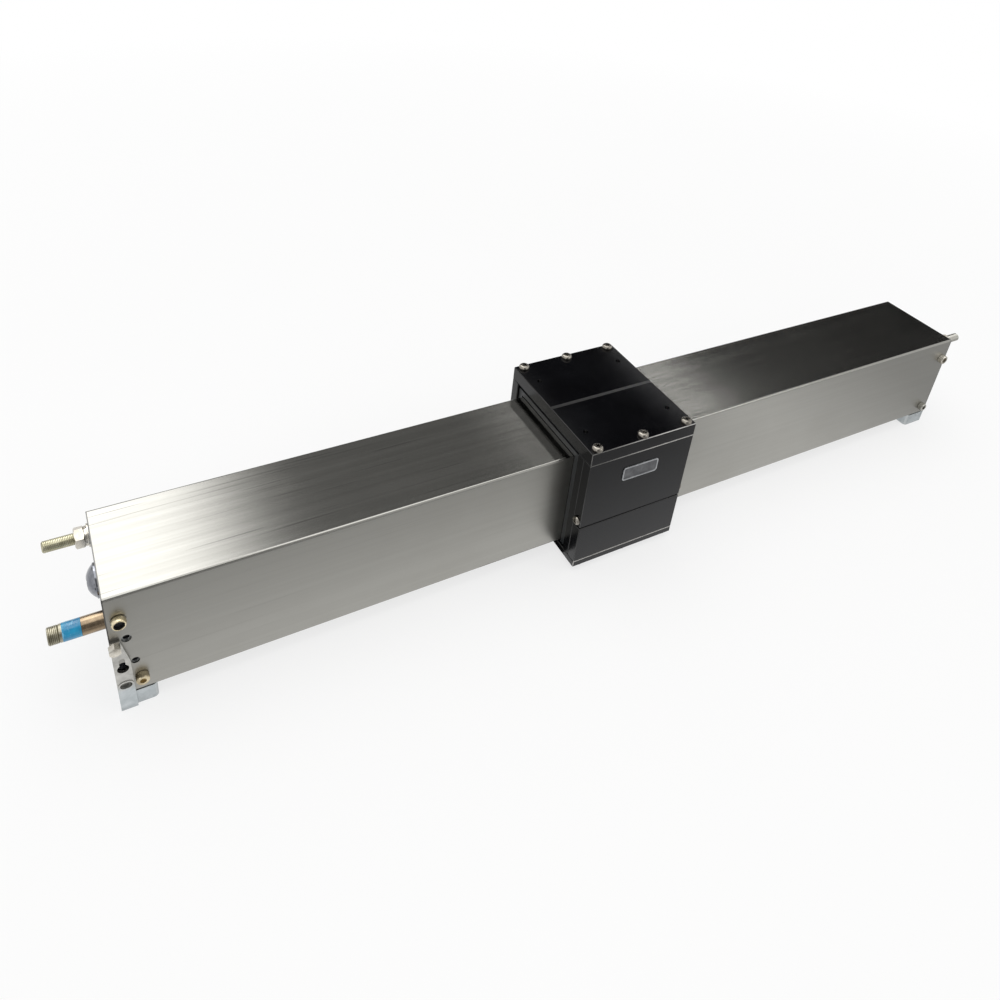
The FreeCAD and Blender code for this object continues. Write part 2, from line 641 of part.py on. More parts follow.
def slot_bar(span, radius):
    """Bar along Y with the shape of the ear's slot, as a box and its two round ends."""
    ends = ("(dims.ear_inset - dims.ear_slot_travel / 2)", "(dims.ear_inset + dims.ear_slot_travel / 2)")
    middle = box(ends, span, (less(ear_slot_height, radius), more(ear_slot_height, radius)))
    return [middle] + [rod("y", (end, ear_slot_height), span, radius) for end in ends]


def make_feet():
    """Foot under an end, with a raised pad between the cover's lips and an ear up the cover's side."""
    pad_half = f"({half_width} - dims.cover_lip - dims.foot_pad_gap)"
    profile = [
        (minus(half_width), "0"), (half_width, "0"), (half_width, cover_floor), (pad_half, cover_floor),
        (pad_half, block_floor), (minus(pad_half), block_floor), (minus(pad_half), cover_floor),
        (minus(half_width), cover_floor),
    ]
    base = extrusion("foot_base", "x", profile, ("0", "dims.foot_length"))

    def inward_corner(edge):
        at_inner_end = abs(edge.CenterOfMass.x - number("dims.foot_length")) < SMALL
        at_side = abs(abs(edge.CenterOfMass.y) - number(half_width)) < SMALL
        return runs_along("z")(edge) and at_inner_end and at_side

    soften(base, "Fillet", "dims.foot_edge", inward_corner)
    ear_top = more(ear_bolt_height, "dims.ear_rise")
    ear_outline = [
        ("0", "0"), ("dims.ear_width", "0"), ("dims.ear_width", less(ear_top, "dims.ear_taper")),
        ("dims.ear_tip_width", ear_top), ("0", ear_top),
    ]
    ear_span = (less(FRONT_SKIN, "dims.ear_thickness"), FRONT_SKIN)
    ear = extrusion("foot_ear", "y", ear_outline, ear_span)
    slot_radius = "(dims.ear_slot_width / 2)"
    boss_face = less(ear_span[0], "dims.ear_boss_height")
    boss = slot_bar((boss_face, FRONT_SKIN), more(slot_radius, "dims.ear_boss_rim"))
    through = (less(boss_face, OVERRUN), FRONT_SKIN)
    keyhole_top = more(ear_hole_height, "dims.keyhole_rise")
    keyhole = ("(dims.ear_inset - dims.keyhole_width / 2)", "(dims.ear_inset + dims.keyhole_width / 2)")
    tools = [
        rod("y", ("dims.ear_bolt_inset", ear_bolt_height), through, loose("dims.ear_bolt_diameter")),
        rod("y", ("dims.ear_inset", ear_hole_height), through, "(dims.ear_hole_diameter / 2)"),
        rod("y", ("dims.ear_inset", keyhole_top), through, "(dims.keyhole_width / 2)"),
        box(keyhole, through, (ear_hole_height, keyhole_top)),
    ]
    tools += slot_bar(through, slot_radius)
    for side in foot_screw_places():
        axis = (foot_middle, side)
        tools.append(rod("z", axis, (minus(OVERRUN), more(block_floor, OVERRUN)),
                         loose("dims.cap_screw_diameter")))
        tools.append(rod("z", axis, (minus(OVERRUN), foot_recess), loose("dims.cap_head_diameter")))
    for side in ("(-0.5 * dims.foot_hole_spacing)", "(0.5 * dims.foot_hole_spacing)"):
        tools.append(rod("z", (foot_middle, side), (minus(OVERRUN), "dims.foot_hole_depth"),
                         "(dims.foot_hole_diameter / 2)"))
    foot = cut("foot", join("foot_blank", [base, ear, *boss]), tools)
    for end in ENDS:
        copies(f"foot_{end}", foot, [at_end(end)])


def socket_screw(name, length, diameter, head_diameter="dims.cap_head_diameter",
                 head_height="dims.cap_head_height"):
    """Socket head screw along X; the head's underside is at 0 and the shank points to +X."""
    head = f"({head_diameter} / 2)"
    return turning(name, [
        (minus(head_height), "0"), (minus(head_height), head), ("0", head),
        ("0", f"({diameter} / 2)"), (length, f"({diameter} / 2)"), (length, "0"),
    ])


def pan_screw(name, length, diameter, head_diameter, head_height):
    """Pan head screw along X, head to -X."""
    head = f"({head_diameter} / 2)"
    screw = turning(name, [
        (minus(head_height), "0"), (minus(head_height), head), ("0", head),
        ("0", f"({diameter} / 2)"), (length, f"({diameter} / 2)"), (length, "0"),
    ])
    return soften(screw, "Fillet", f"(0.6 * {head_height})", circle_at(minus(head_height), head))


def make_tube():
    seat = "(dims.end_thickness - dims.tube_seat)"
    tube_end = less(half_length, seat)
    tube = ring("tube", (minus(tube_end), tube_end), "(dims.tube_bore / 2)", tube_radius)
    copies("cylinder_tube", tube, [("0", "0", tube_height, UPRIGHT)])
    seal = doc.addObject("Part::Torus", "tube_seal")
    seal.setExpression("Radius1", f"({tube_radius} + dims.seal_depth / 2)")
    seal.setExpression("Radius2", "(dims.seal_depth / 2 - dims.fit_gap)")
    seal_middle = "(dims.end_thickness - dims.seal_inset)"
    copies("tube_seals", seal, at_both_ends(seal_middle, "0", tube_height, ALONG_X))


def make_end_caps():
    """Plug with a lens-shaped crown that closes the air chamber from outside."""
    thread = "(dims.chamber_diameter / 2 - dims.fit_gap)"
    flange = "(dims.cap_diameter / 2)"
    dome = "(dims.cap_dome_diameter / 2)"
    face = minus("dims.cap_flange")
    crown = less(face, "dims.cap_dome")
    plug = turning("end_cap_plug", [
        (face, "0"), (face, flange), ("0", flange), ("0", thread),
        ("dims.cap_depth", thread), ("dims.cap_depth", "0"),
    ])
    ball_radius = f"(({dome} * {dome} + dims.cap_dome * dims.cap_dome) / (2 * dims.cap_dome))"
    ball = doc.addObject("Part::Sphere", "end_cap_ball")
    ball.setExpression("Radius", ball_radius)
    settle(ball, more(crown, ball_radius), "0", "0", ALONG_X)
    lens = doc.addObject("Part::MultiCommon", "end_cap_lens")
    lens.Shapes = [ball, rod("x", ("0", "0"), (less(crown, OVERRUN), "0"), dome)]
    socket = hexagon("dims.cap_socket", (less(crown, OVERRUN), more(crown, "dims.cap_socket_depth")))
    cap = cut("end_cap", join("end_cap_blank", [plug, lens]), [socket])
    for end in ENDS:
        copies(f"end_cap_{end}", cap, [at_end(end, "0", "0", tube_height)])


def make_shafts():
    shaft_end = f"({half_length} - dims.end_thickness + dims.shaft_seat)"
    radius = shaft_radius
    blank = turning("shaft_blank", [
        (minus(shaft_end), "0"), (minus(shaft_end), less(radius, "dims.shaft_chamfer")),
        (more(minus(shaft_end), "dims.shaft_chamfer"), radius),
        (less(shaft_end, "dims.shaft_chamfer"), radius),
        (shaft_end, less(radius, "dims.shaft_chamfer")), (shaft_end, "0"),
    ])
    depth = "(dims.shaft_screw_grip + dims.fit_gap)"
    screw_hole = loose("dims.shaft_screw_diameter")
    shaft = cut("shaft", blank, [
        rod("x", ("0", "0"), (less(minus(shaft_end), OVERRUN), more(minus(shaft_end), depth)), screw_hole),
        rod("x", ("0", "0"), (less(shaft_end, depth), more(shaft_end, OVERRUN)), screw_hole),
    ])
    copies("guide_shaft_front", shaft, [("0", minus(shaft_offset), shaft_height, UPRIGHT)])
    copies("guide_shaft_rear", shaft, [("0", shaft_offset, shaft_height, UPRIGHT)])
    web = "(dims.end_thickness - dims.shaft_seat - dims.shaft_screw_recess)"
    screw = socket_screw("shaft_screw", f"({web} + dims.shaft_screw_grip)", "dims.shaft_screw_diameter")
    places = []
    for side in (minus(shaft_offset), shaft_offset):
        places += at_both_ends("dims.shaft_screw_recess", side, shaft_height)
    copies("shaft_screws", screw, places)


def make_stops():
    """Adjustable stop: a bolt through the end block, locked outside, with a bumper inside."""
    radius = "(dims.stop_diameter / 2)"
    outside = minus("dims.stop_overhang")
    tip = less(stop_face, "dims.bumper_wall")
    bolt = turning("stop_bolt", [
        (outside, "0"), (outside, less(radius, "dims.shaft_chamfer")),
        (more(outside, "dims.shaft_chamfer"), radius), (tip, radius), (tip, "0"),
    ])
    bore = loose("dims.stop_diameter")
    bumper_radius = "(dims.bumper_diameter / 2)"
    back = less(stop_face, "dims.bumper_length")
    shoulder = less(stop_face, "dims.shaft_chamfer")
    bumper = turning("bumper", [
        (back, bore), (back, bumper_radius), (shoulder, bumper_radius),
        (stop_face, less(bumper_radius, "dims.shaft_chamfer")), (stop_face, "0"), (tip, "0"), (tip, bore),
    ])
    washer_face = minus("dims.stop_washer_thickness")
    spring_face = less(washer_face, "dims.spring_washer_thickness")
    nut_face = less(spring_face, "dims.stop_nut_height")
    washer = ring("stop_washer", (washer_face, "0"), bore, "(dims.stop_washer_diameter / 2)")
    spring = ring("stop_spring_washer", (spring_face, washer_face), bore,
                  "(dims.spring_washer_diameter / 2)")
    nut = cut("stop_nut", hexagon("dims.stop_nut_width", (nut_face, spring_face)),
              [rod("x", ("0", "0"), (less(nut_face, OVERRUN), "0"), bore)])
    for end in ENDS:
        copies(f"stop_bolt_{end}", bolt, [at_end(end, "0", stop_offset, stop_height)])
        copies(f"bumper_{end}", bumper, [at_end(end, "0", stop_offset, stop_height)])
    places = at_both_ends("0", stop_offset, stop_height)
    copies("stop_washers", washer, places)
    copies("stop_spring_washers", spring, places)
    copies("stop_nuts", nut, places)


def make_sensors():
    """Proximity sensor screwed through the end block; a label band and a connector stand outside."""
    radius = "(dims.sensor_diameter / 2)"
    recess = less(radius, "dims.sensor_label_thickness")
    label_start = minus("dims.sensor_bare")
    label_end = less(label_start, "dims.sensor_label")
    plug_end = less(label_end, "dims.sensor_plug")
    barrel = turning("sensor", [
        (label_end, "0"), (label_end, recess), (label_start, recess), (label_start, radius),
        (sensor_face, radius), (sensor_face, "0"),
    ])
    label = ring("sensor_label", (label_end, label_start), recess, radius)
    hollow = "(dims.sensor_socket / 2)"
    hollow_floor = more(plug_end, "dims.sensor_socket_depth")
    connector = turning("sensor_connector", [
        (plug_end, hollow), (plug_end, recess), (label_end, recess), (label_end, "0"),
        (hollow_floor, "0"), (hollow_floor, hollow),
    ])
    nut_span = ("dims.end_thickness", "(dims.end_thickness + dims.sensor_nut_height)")
    nut = cut("sensor_nut", hexagon("dims.sensor_nut_width", nut_span),
              [rod("x", ("0", "0"), through_nut(nut_span), loose("dims.sensor_diameter"))])
    for end in ENDS:
        copies(f"sensor_{end}", barrel, [at_end(end, "0", minus(sensor_offset), sensor_height)])
    places = at_both_ends("0", minus(sensor_offset), sensor_height)
    copies("sensor_labels", label, places)
    copies("sensor_connectors", connector, places)
    copies("sensor_nuts", nut, places)


def through_nut(span):
    return (less(span[0], OVERRUN), more(span[1], OVERRUN))


def make_ports():
    """Air fitting in the port of each end, and a plug in the unused port opposite."""
    thread = "(dims.port_diameter / 2 - dims.fit_gap)"
    thread_end = f"({cover_to_block} + dims.port_depth)"
    body = "(dims.fitting_diameter / 2)"
    bore = "(dims.fitting_bore / 2)"
    mouth = minus("dims.fitting_height")
    groove_front = more(mouth, "dims.fitting_lip")
    groove_back = more(groove_front, "dims.fitting_groove_width")
    groove = less(body, "dims.fitting_groove_depth")
    bore_end = more(mouth, "dims.fitting_bore_depth")
    passage = "(dims.port_passage / 2)"
    fitting = turning("air_fitting", [
        (mouth, bore), (mouth, body), (groove_front, body), (groove_front, groove), (groove_back, groove),
        (groove_back, body), (cover_to_block, body), (cover_to_block, thread), (thread_end, thread),
        (thread_end, passage), (bore_end, passage), (bore_end, bore),
    ])
    soften(fitting, "Fillet", "dims.fitting_rounding", circle_at(mouth, body))
    head = "(-1 * dims.plug_height)"
    blank = turning("port_plug_blank", [
        (head, "0"), (head, body), (cover_to_block, body), (cover_to_block, thread),
        (thread_end, thread), (thread_end, "0"),
    ])
    socket = hexagon("dims.plug_socket", (less(head, OVERRUN), more(head, "dims.plug_socket_depth")))
    plug = cut("port_plug", blank, [socket])
    for end in ENDS:
        place = at_end(end, "dims.port_inset", minus(half_width), port_height, INTO_FRONT)
        copies(f"air_fitting_{end}", fitting, [place])
    copies("port_plugs", plug, at_both_ends("dims.port_inset", half_width, port_height, INTO_REAR))


def make_end_fasteners():
    head = hexagon("dims.ear_bolt_width", (minus("dims.ear_bolt_head"), "0"))
    length = f"(dims.ear_thickness + {cover_to_block} + dims.ear_bolt_grip - dims.fit_gap)"
    shank = rod("x", ("0", "0"), (minus(OVERRUN), length), "(dims.ear_bolt_diameter / 2)")
    bolt = join("ear_bolt", [head, shank])
    ear_face = less(minus(half_width), "dims.ear_thickness")
    copies("ear_bolts", bolt, at_both_ends("dims.ear_bolt_inset", ear_face, ear_bolt_height, INTO_FRONT))

    grip = f"({cover_to_block} + dims.cover_screw_grip - dims.fit_gap)"
    screw = socket_screw("cover_screw", grip, "dims.cover_screw_diameter", "dims.cover_screw_head",
                         "dims.cover_screw_head_height")
    places = at_both_ends("dims.cover_screw_inset", minus(half_width), cover_screw_height, INTO_FRONT)
    places += at_both_ends("dims.far_screw_inset", half_width, far_screw_height, INTO_REAR)
    copies("cover_screws", screw, places)

    foot_screw = socket_screw("foot_screw", f"({foot_screw_end} - {foot_recess} - dims.fit_gap)",
                              "dims.cap_screw_diameter")
    places = []
    for side in foot_screw_places():
        places += at_both_ends(foot_middle, side, foot_recess, INTO_FLOOR)
    copies("foot_screws", foot_screw, places)


def side_screw_places():
    """Screws of the side plate: two rows in the upper front plate and one in the lower."""
    rows = [less(roof_low, "dims.side_screw_margin"), more(split_high, "dims.side_screw_margin"),
            f"(({floor_top} + {split_low}) / 2)"]
    columns = ("(-0.5 * dims.side_screw_spacing)", "(0.5 * dims.side_screw_spacing)")
    return [(column, row) for row in rows for column in columns]


def plate_holes(line, span):
    """Holes for a row of plate screws."""
    return [rod("z", (along, line), span, loose("dims.plate_screw_diameter")) for along in screw_rows()]


def make_carriage_plates():
    along = (minus(half_carriage), half_carriage)
    across = (front_outer, rear_outer)
    rest = "dims.rest_offset"
    screw_down = (f"({roof_low} - dims.plate_screw_grip - dims.fit_gap)", more(roof_low, OVERRUN))
    screw_up = (less(floor_top, OVERRUN), f"({floor_top} + dims.plate_screw_grip + dims.fit_gap)")

    roof = (less(roof_low, OVERRUN), more(roof_top, OVERRUN))
    groove_front = f"({carriage_middle} - dims.groove_width / 2)"
    groove_rear = f"({carriage_middle} + dims.groove_width / 2)"
    groove = [
        (groove_front, roof[1]), (groove_front, roof_top),
        (carriage_middle, less(roof_top, "dims.groove_depth")),
        (groove_rear, roof_top), (groove_rear, roof[1]),
    ]
    tools = [extrusion("top_groove", "x", groove, (less(along[0], OVERRUN), more(along[1], OVERRUN)))]
    tools += plate_holes(front_screw_line, roof) + plate_holes(rear_screw_line, roof)
    for x_sign in (-1, 1):
        for y_sign in (-1, 1):
            centre = (f"({x_sign} * dims.payload_pitch_length / 2)",
                      f"({carriage_middle} + {y_sign} * dims.payload_pitch_depth / 2)")
            tools.append(rod("z", centre, roof, "(dims.payload_hole_diameter / 2)"))
    blank = slab("top_blank", along, across, (roof_low, roof_top))
    piece("top_plate", cut("top_plate_cut", blank, tools), rest)

    floor = (less(floor_low, OVERRUN), more(floor_top, OVERRUN))
    tools = plate_holes(front_screw_line, floor) + plate_holes(rear_screw_line, floor)
    sunk = (less(floor_low, "dims.fit_gap"), more(floor_low, "dims.sunk_head_height"))
    for line in (front_screw_line, rear_screw_line):
        for column in screw_rows():
            tools.append(sunk_seat(column, line, sunk))
    for column, line in bridge_bolt_places():
        tools.append(rod("z", (column, line), floor, loose("dims.cap_screw_diameter")))
        tools.append(rod("z", (column, line), (floor[0], bridge_recess), loose("dims.cap_head_diameter")))
    blank = slab("bottom_blank", along, across, (floor_low, floor_top))
    piece("bottom_plate", cut("bottom_plate_cut", blank, tools), rest)

    upright = (floor_top, roof_low)
    tools = []
    inside = more(front_inner, OVERRUN)
    for place in side_screw_places():
        tools.append(rod("y", place, (less(front_joint, OVERRUN), inside),
                         loose("dims.plate_screw_diameter")))
        tools.append(rod("y", place, (less(front_inner, "dims.side_screw_recess"), inside),
                         loose("dims.side_screw_head")))
    blank = slab("side_blank", along, (front_joint, front_inner), upright)
    piece("side_plate_front", cut("side_plate_cut", blank, tools), rest)

    side_taps = (f"({front_joint} - dims.side_screw_grip - dims.fit_gap)", more(front_joint, OVERRUN))
    taps = [rod("y", place, side_taps, loose("dims.plate_screw_diameter")) for place in side_screw_places()]
    end_reach = "(dims.end_screw_grip + dims.fit_gap)"
    left_tap = (less(along[0], OVERRUN), more(along[0], end_reach))
    right_tap = (less(along[1], end_reach), more(along[1], OVERRUN))
    end_axis = (front_screw_line, end_screw_height)
    end_tap = loose("dims.small_screw_diameter")
    end_taps = [rod("x", end_axis, span, end_tap) for span in (left_tap, right_tap)]
    blank = slab("front_upper_blank", along, (front_outer, front_joint), (split_high, roof_low))
    tools = plate_holes(front_screw_line, screw_down) + taps[:4] + end_taps
    piece("front_plate_upper", cut("front_upper_cut", blank, tools), rest)
    blank = slab("front_lower_blank", along, (front_outer, front_joint), (floor_top, split_low))
    tools = plate_holes(front_screw_line, screw_up) + taps[4:]
    piece("front_plate_lower", cut("front_lower_cut", blank, tools), rest)

    blank = slab("rear_blank", along, (rear_inner, rear_outer), upright)
    tools = plate_holes(rear_screw_line, screw_down) + plate_holes(rear_screw_line, screw_up)
    piece("rear_plate", cut("rear_plate_cut", blank, tools), rest)


def sunk_seat(column, line, span):
    """Conical seat for a countersunk head, wide end below."""
    cone = doc.addObject("Part::Cone", "sunk_seat")
    cone.setExpression("Radius1", "(dims.sunk_head_diameter / 2 + 2 * dims.fit_gap)")
    cone.setExpression("Radius2", "(dims.plate_screw_diameter / 2 + dims.fit_gap)")
    cone.setExpression("Height", less(span[1], span[0]))
    return settle(cone, column, line, span[0])


bridge_recess = f"({floor_low} + dims.cap_head_height + dims.fit_gap)"


def bridge_bolt_places():
    return [(f"({x_sign} * dims.bridge_bolt_spacing / 2)", f"({y_sign} * {bridge_bolt_line})")
            for x_sign in (-1, 1) for y_sign in (-1, 1)]


def make_carriage_screws():
    rest = "dims.rest_offset"
    top_length = "(dims.top_plate + dims.plate_screw_grip)"
    top_screw = pan_screw("top_screw", top_length, "dims.plate_screw_diameter", "dims.pan_head_diameter",
                          "dims.pan_head_height")
    lines = (front_screw_line, rear_screw_line)
    places = [(column, line, roof_top, INTO_TOP) for line in lines for column in screw_rows()]
    copies("top_screws", top_screw, places, rest)

    head = "(dims.sunk_head_diameter / 2)"
    shank = "(dims.plate_screw_diameter / 2)"
    length = "(dims.bottom_plate + dims.plate_screw_grip)"
    sunk_screw = turning("sunk_screw", [
        ("0", "0"), ("0", head), ("dims.sunk_head_height", shank), (length, shank), (length, "0"),
    ])
    places = [(column, line, floor_low, INTO_FLOOR) for line in lines for column in screw_rows()]
    copies("bottom_screws", sunk_screw, places, rest)

    end_screw = pan_screw("end_screw", "dims.end_screw_grip", "dims.small_screw_diameter",
                          "dims.small_head_diameter", "dims.small_head_height")
    places = [(minus(half_carriage), front_screw_line, end_screw_height, UPRIGHT),
              (half_carriage, front_screw_line, end_screw_height, HALF_TURN)]
    copies("end_screws", end_screw, places, rest)

    side_head = "(dims.side_screw_head / 2)"
    side_head_end = "(-1 * dims.side_screw_recess + dims.fit_gap)"
    side_length = "(dims.side_plate - dims.side_screw_recess + dims.side_screw_grip)"
    side_screw = turning("side_screw", [
        (side_head_end, "0"), (side_head_end, side_head), ("0", side_head), ("0", shank),
        (side_length, shank), (side_length, "0"),
    ])
    seat = less(front_inner, "dims.side_screw_recess")
    places = [(column, seat, row, INTO_REAR) for column, row in side_screw_places()]
    copies("side_plate_screws", side_screw, places, rest)

    reach = f"({slide_floor} - {bridge_recess} + dims.bridge_bolt_grip)"
    bolt = socket_screw("bridge_bolt", reach, "dims.cap_screw_diameter")
    places = [(column, line, bridge_recess, INTO_FLOOR) for column, line in bridge_bolt_places()]
    copies("bridge_bolts", bolt, places, rest)


def make_wipers():
    """Frame round the cover's top and sides that keeps dirt out of each end of the carriage."""
    inner_top = more(cover_top, "dims.wiper_gap")
    outer_top = more(inner_top, "dims.wiper_rise")
    front_face = less(minus(half_width), "dims.wiper_gap")
    rear_face = more(half_width, "dims.wiper_gap")
    profile = [
        (front_inner, floor_top), (front_face, floor_top), (front_face, inner_top), (rear_face, inner_top),
        (rear_face, floor_top), (rear_inner, floor_top), (rear_inner, outer_top), (front_inner, outer_top),
    ]
    outside = less(half_carriage, "dims.wiper_inset")
    inside = less(outside, "dims.wiper_length")
    for label, span in (("wiper_left", (minus(outside), minus(inside))), ("wiper_right", (inside, outside))):
        piece(label, extrusion(f"{label}_frame", "x", profile, span), "dims.rest_offset")


def make_slide():
    """Slide block on its bushes, and the bridge that carries the carriage."""
    rest = "dims.rest_offset"
    half_slide = "(dims.slide_length / 2)"
    span = (minus(half_slide), half_slide)
    blank = extrusion("slide_blank", "x",
                      rectangle((minus(slide_half), slide_half), (slide_floor, slide_top)), span)
    soften(blank, "Chamfer", "dims.slide_chamfer", runs_along("x"))
    through = (less(span[0], OVERRUN), more(span[1], OVERRUN))
    tools = [rod("x", ("0", tube_height), through, more(ring_outer, "dims.fit_gap"))]
    for side in (minus(shaft_offset), shaft_offset):
        tools.append(rod("x", (side, shaft_height), through, more(bush_outer, "dims.fit_gap")))
    bolt_span = (less(slide_floor, OVERRUN), f"({slide_floor} + dims.bridge_bolt_grip + dims.fit_gap)")
    bolt_hole = loose("dims.cap_screw_diameter")
    tools += [rod("z", place, bolt_span, bolt_hole) for place in bridge_bolt_places()]
    piece("slide_block", cut("slide_block_cut", blank, tools), rest)

    half_bridge = "(dims.bridge_length / 2)"
    blank = extrusion("bridge_blank", "z",
                      rectangle((minus(half_bridge), half_bridge), (minus(bridge_half), bridge_half)),
                      (floor_top, slide_floor))
    soften(blank, "Chamfer", "dims.bridge_chamfer", runs_along("z"))
    bridge_span = (less(floor_top, OVERRUN), more(slide_floor, OVERRUN))
    tools = [rod("z", place, bridge_span, bolt_hole) for place in bridge_bolt_places()]
    piece("bridge_block", cut("bridge_block_cut", blank, tools), rest)

    groove_low = "(dims.bush_length / 2 - dims.bush_groove_width / 2)"
    groove_high = "(dims.bush_length / 2 + dims.bush_groove_width / 2)"
    groove = more(bush_inner, "dims.bush_groove_depth")
    bush = turning("guide_bush", [
        ("0", bush_inner), ("0", bush_outer),
        ("dims.bush_length", bush_outer), ("dims.bush_length", bush_inner),
        (groove_high, bush_inner), (groove_high, groove), (groove_low, groove), (groove_low, bush_inner),
    ])
    places = []
    for side in (minus(shaft_offset), shaft_offset):
        places.append((minus(half_slide), side, shaft_height, UPRIGHT))
        places.append((half_slide, side, shaft_height, HALF_TURN))
    copies("guide_bushes", bush, places, rest)

    retainer_inner = more(tube_radius, "dims.retainer_gap")
    blank = ring("magnet_retainer_blank", (half_stack, half_slide), retainer_inner, ring_outer)
    pin_circle = f"(({retainer_inner} + {ring_outer}) / 2)"
    pin_span = (less(half_slide, "dims.spanner_depth"), more(half_slide, OVERRUN))
    retainer = cut("magnet_retainer", blank, [
        rod("x", (side, "0"), pin_span, "(dims.spanner_hole / 2)")
        for side in (minus(pin_circle), pin_circle)
    ])
    copies("magnet_retainer_left", retainer, [("0", "0", tube_height, HALF_TURN)], rest)
    copies("magnet_retainer_right", retainer, [("0", "0", tube_height, UPRIGHT)], rest)


def stack_places(count, pitch, length):
    """Places along X of a row of equal rings, centred on 0."""
    return [(f"(({index} - {count - 1} / 2) * {pitch} - {length} / 2)", "0", tube_height, UPRIGHT)
            for index in range(count)]


def make_magnets():
    """Ring magnets and yokes in the slide block, and the matching stack on the piston."""
    rest = "dims.rest_offset"
    magnets = int(number("dims.magnet_count"))
    rod_hole = loose("dims.piston_rod_diameter")
    for owner, inner, outer in (("drive", ring_inner, ring_outer), ("piston", rod_hole, piston_radius)):
        magnet = ring(f"{owner}_magnet", ("0", "dims.magnet_length"), inner, outer)
        yoke = ring(f"{owner}_yoke", ("0", "dims.yoke_length"), inner, outer)
        copies(f"{owner}_magnets", magnet, stack_places(magnets, stack_pitch, "dims.magnet_length"), rest)
        copies(f"{owner}_yokes", yoke, stack_places(magnets + 1, stack_pitch, "dims.yoke_length"), rest)


def make_piston():
    """Piston in the tube: a rod through the magnet stack, with a sealed head at each end."""
    rest = "dims.rest_offset"
    rod_end = less(piston_half, "dims.piston_end_wall")
    rod_hole = loose("dims.piston_rod_diameter")
    rod_radius = "(dims.piston_rod_diameter / 2)"
    piston_rod = turning("rod_of_piston", rectangle((minus(rod_end), rod_end), ("0", rod_radius)))
    copies("piston_rod", piston_rod, [("0", "0", tube_height, UPRIGHT)], rest)

    seal_middle = f"({half_stack} + dims.piston_head_length / 2)"
    seal_start = f"({seal_middle} - dims.piston_seal_width / 2)"
    seal_end = f"({seal_middle} + dims.piston_seal_width / 2)"
    lip = "(dims.tube_bore / 2 - dims.running_gap)"
    groove = less(lip, "dims.piston_seal_depth")
    groove_floor = less(groove, "dims.fit_gap")
    groove_start = less(seal_start, "dims.fit_gap")
    groove_end = more(seal_end, "dims.fit_gap")
    head = turning("piston_head", [
        (half_stack, rod_hole), (half_stack, piston_radius), (groove_start, piston_radius),
        (groove_start, groove_floor), (groove_end, groove_floor), (groove_end, piston_radius),
        (less(piston_half, "dims.piston_nose"), piston_radius),
        (piston_half, less(piston_radius, "dims.piston_nose")), (piston_half, "0"),
        (rod_end, "0"), (rod_end, rod_hole),
    ])
    copies("piston_head_left", head, [("0", "0", tube_height, HALF_TURN)], rest)
    copies("piston_head_right", head, [("0", "0", tube_height, UPRIGHT)], rest)
    seal = ring("piston_seal", (seal_start, seal_end), groove, lip)
    places = [("0", "0", tube_height, turn) for turn in (HALF_TURN, UPRIGHT)]
    copies("piston_seals", seal, places, rest)


make_cover()
make_end_blocks()
make_feet()
make_tube()
make_end_caps()
make_shafts()
make_stops()
make_sensors()
make_ports()
make_end_fasteners()
make_carriage_plates()
make_carriage_screws()
make_wipers()
make_slide()
make_magnets()
make_piston()
doc.recompute()

for item in doc.Objects:
    if "Invalid" in item.State or "Error" in item.State:
        raise RuntimeError(f"{item.Label} did not build: {item.State}")
for item in pieces:
    if item.Shape.isNull() or not item.Shape.isValid() or not item.Shape.Solids:
        raise RuntimeError(f"{item.Label} is not a sound solid")

os.makedirs("parts", exist_ok=True)
for item in pieces:
    item.Shape.exportStep(os.path.join("parts", f"{item.Label}.step"))
    print(f"{item.Label}: {len(item.Shape.Solids)} solids, {item.Shape.Volume / 1000:.2f} cm3")
print(f"{len(pieces)} sub-parts")
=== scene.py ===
# %% [markdown]
# A slide table cylinder is a long air cylinder hidden under a stainless cover, with a black box of
# plates, the carriage, that runs along it. The solids come from the CAD model and are already at
# their real size and place. This lesson gives every surface its finish, models the small turned
# and threaded pieces again with the detail that the eye looks for, breaks the sharp edges of the
# plates and castings, and sets up the photo's view and light.

import json
import math
from contextlib import contextmanager

import bmesh
import bpy
from mathutils import Matrix, Vector


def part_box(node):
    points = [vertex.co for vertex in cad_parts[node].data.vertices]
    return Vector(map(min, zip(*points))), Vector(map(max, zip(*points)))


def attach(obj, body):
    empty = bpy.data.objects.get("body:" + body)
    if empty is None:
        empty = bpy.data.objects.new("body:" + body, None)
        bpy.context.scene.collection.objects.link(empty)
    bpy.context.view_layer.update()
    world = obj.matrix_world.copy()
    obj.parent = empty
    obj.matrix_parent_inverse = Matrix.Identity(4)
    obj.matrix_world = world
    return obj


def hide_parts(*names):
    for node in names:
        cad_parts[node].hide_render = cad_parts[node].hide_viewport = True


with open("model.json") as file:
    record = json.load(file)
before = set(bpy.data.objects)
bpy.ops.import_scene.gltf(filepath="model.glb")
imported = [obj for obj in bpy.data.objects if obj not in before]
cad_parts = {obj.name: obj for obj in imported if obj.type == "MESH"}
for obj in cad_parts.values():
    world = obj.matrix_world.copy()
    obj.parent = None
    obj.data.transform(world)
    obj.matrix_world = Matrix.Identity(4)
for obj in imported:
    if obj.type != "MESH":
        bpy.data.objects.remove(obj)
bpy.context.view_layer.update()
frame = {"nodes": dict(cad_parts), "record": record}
MM = 0.001
BODY_OF = {node: body for body, nodes in frame["record"]["behaviour"]["bodies"].items() for node in nodes}
SLOT_OF = {entry["node"]: entry["material_slot"] for entry in frame["record"]["subparts"]}

# %% [markdown]
# A finish is a graph of shader nodes. It could be wired link by link, but that is slow to read, so a
# small class wraps a socket: adding or multiplying two of them adds the Math node that does it, and one
# method makes every other kind of node. The settings come first, because some of them change the sockets.

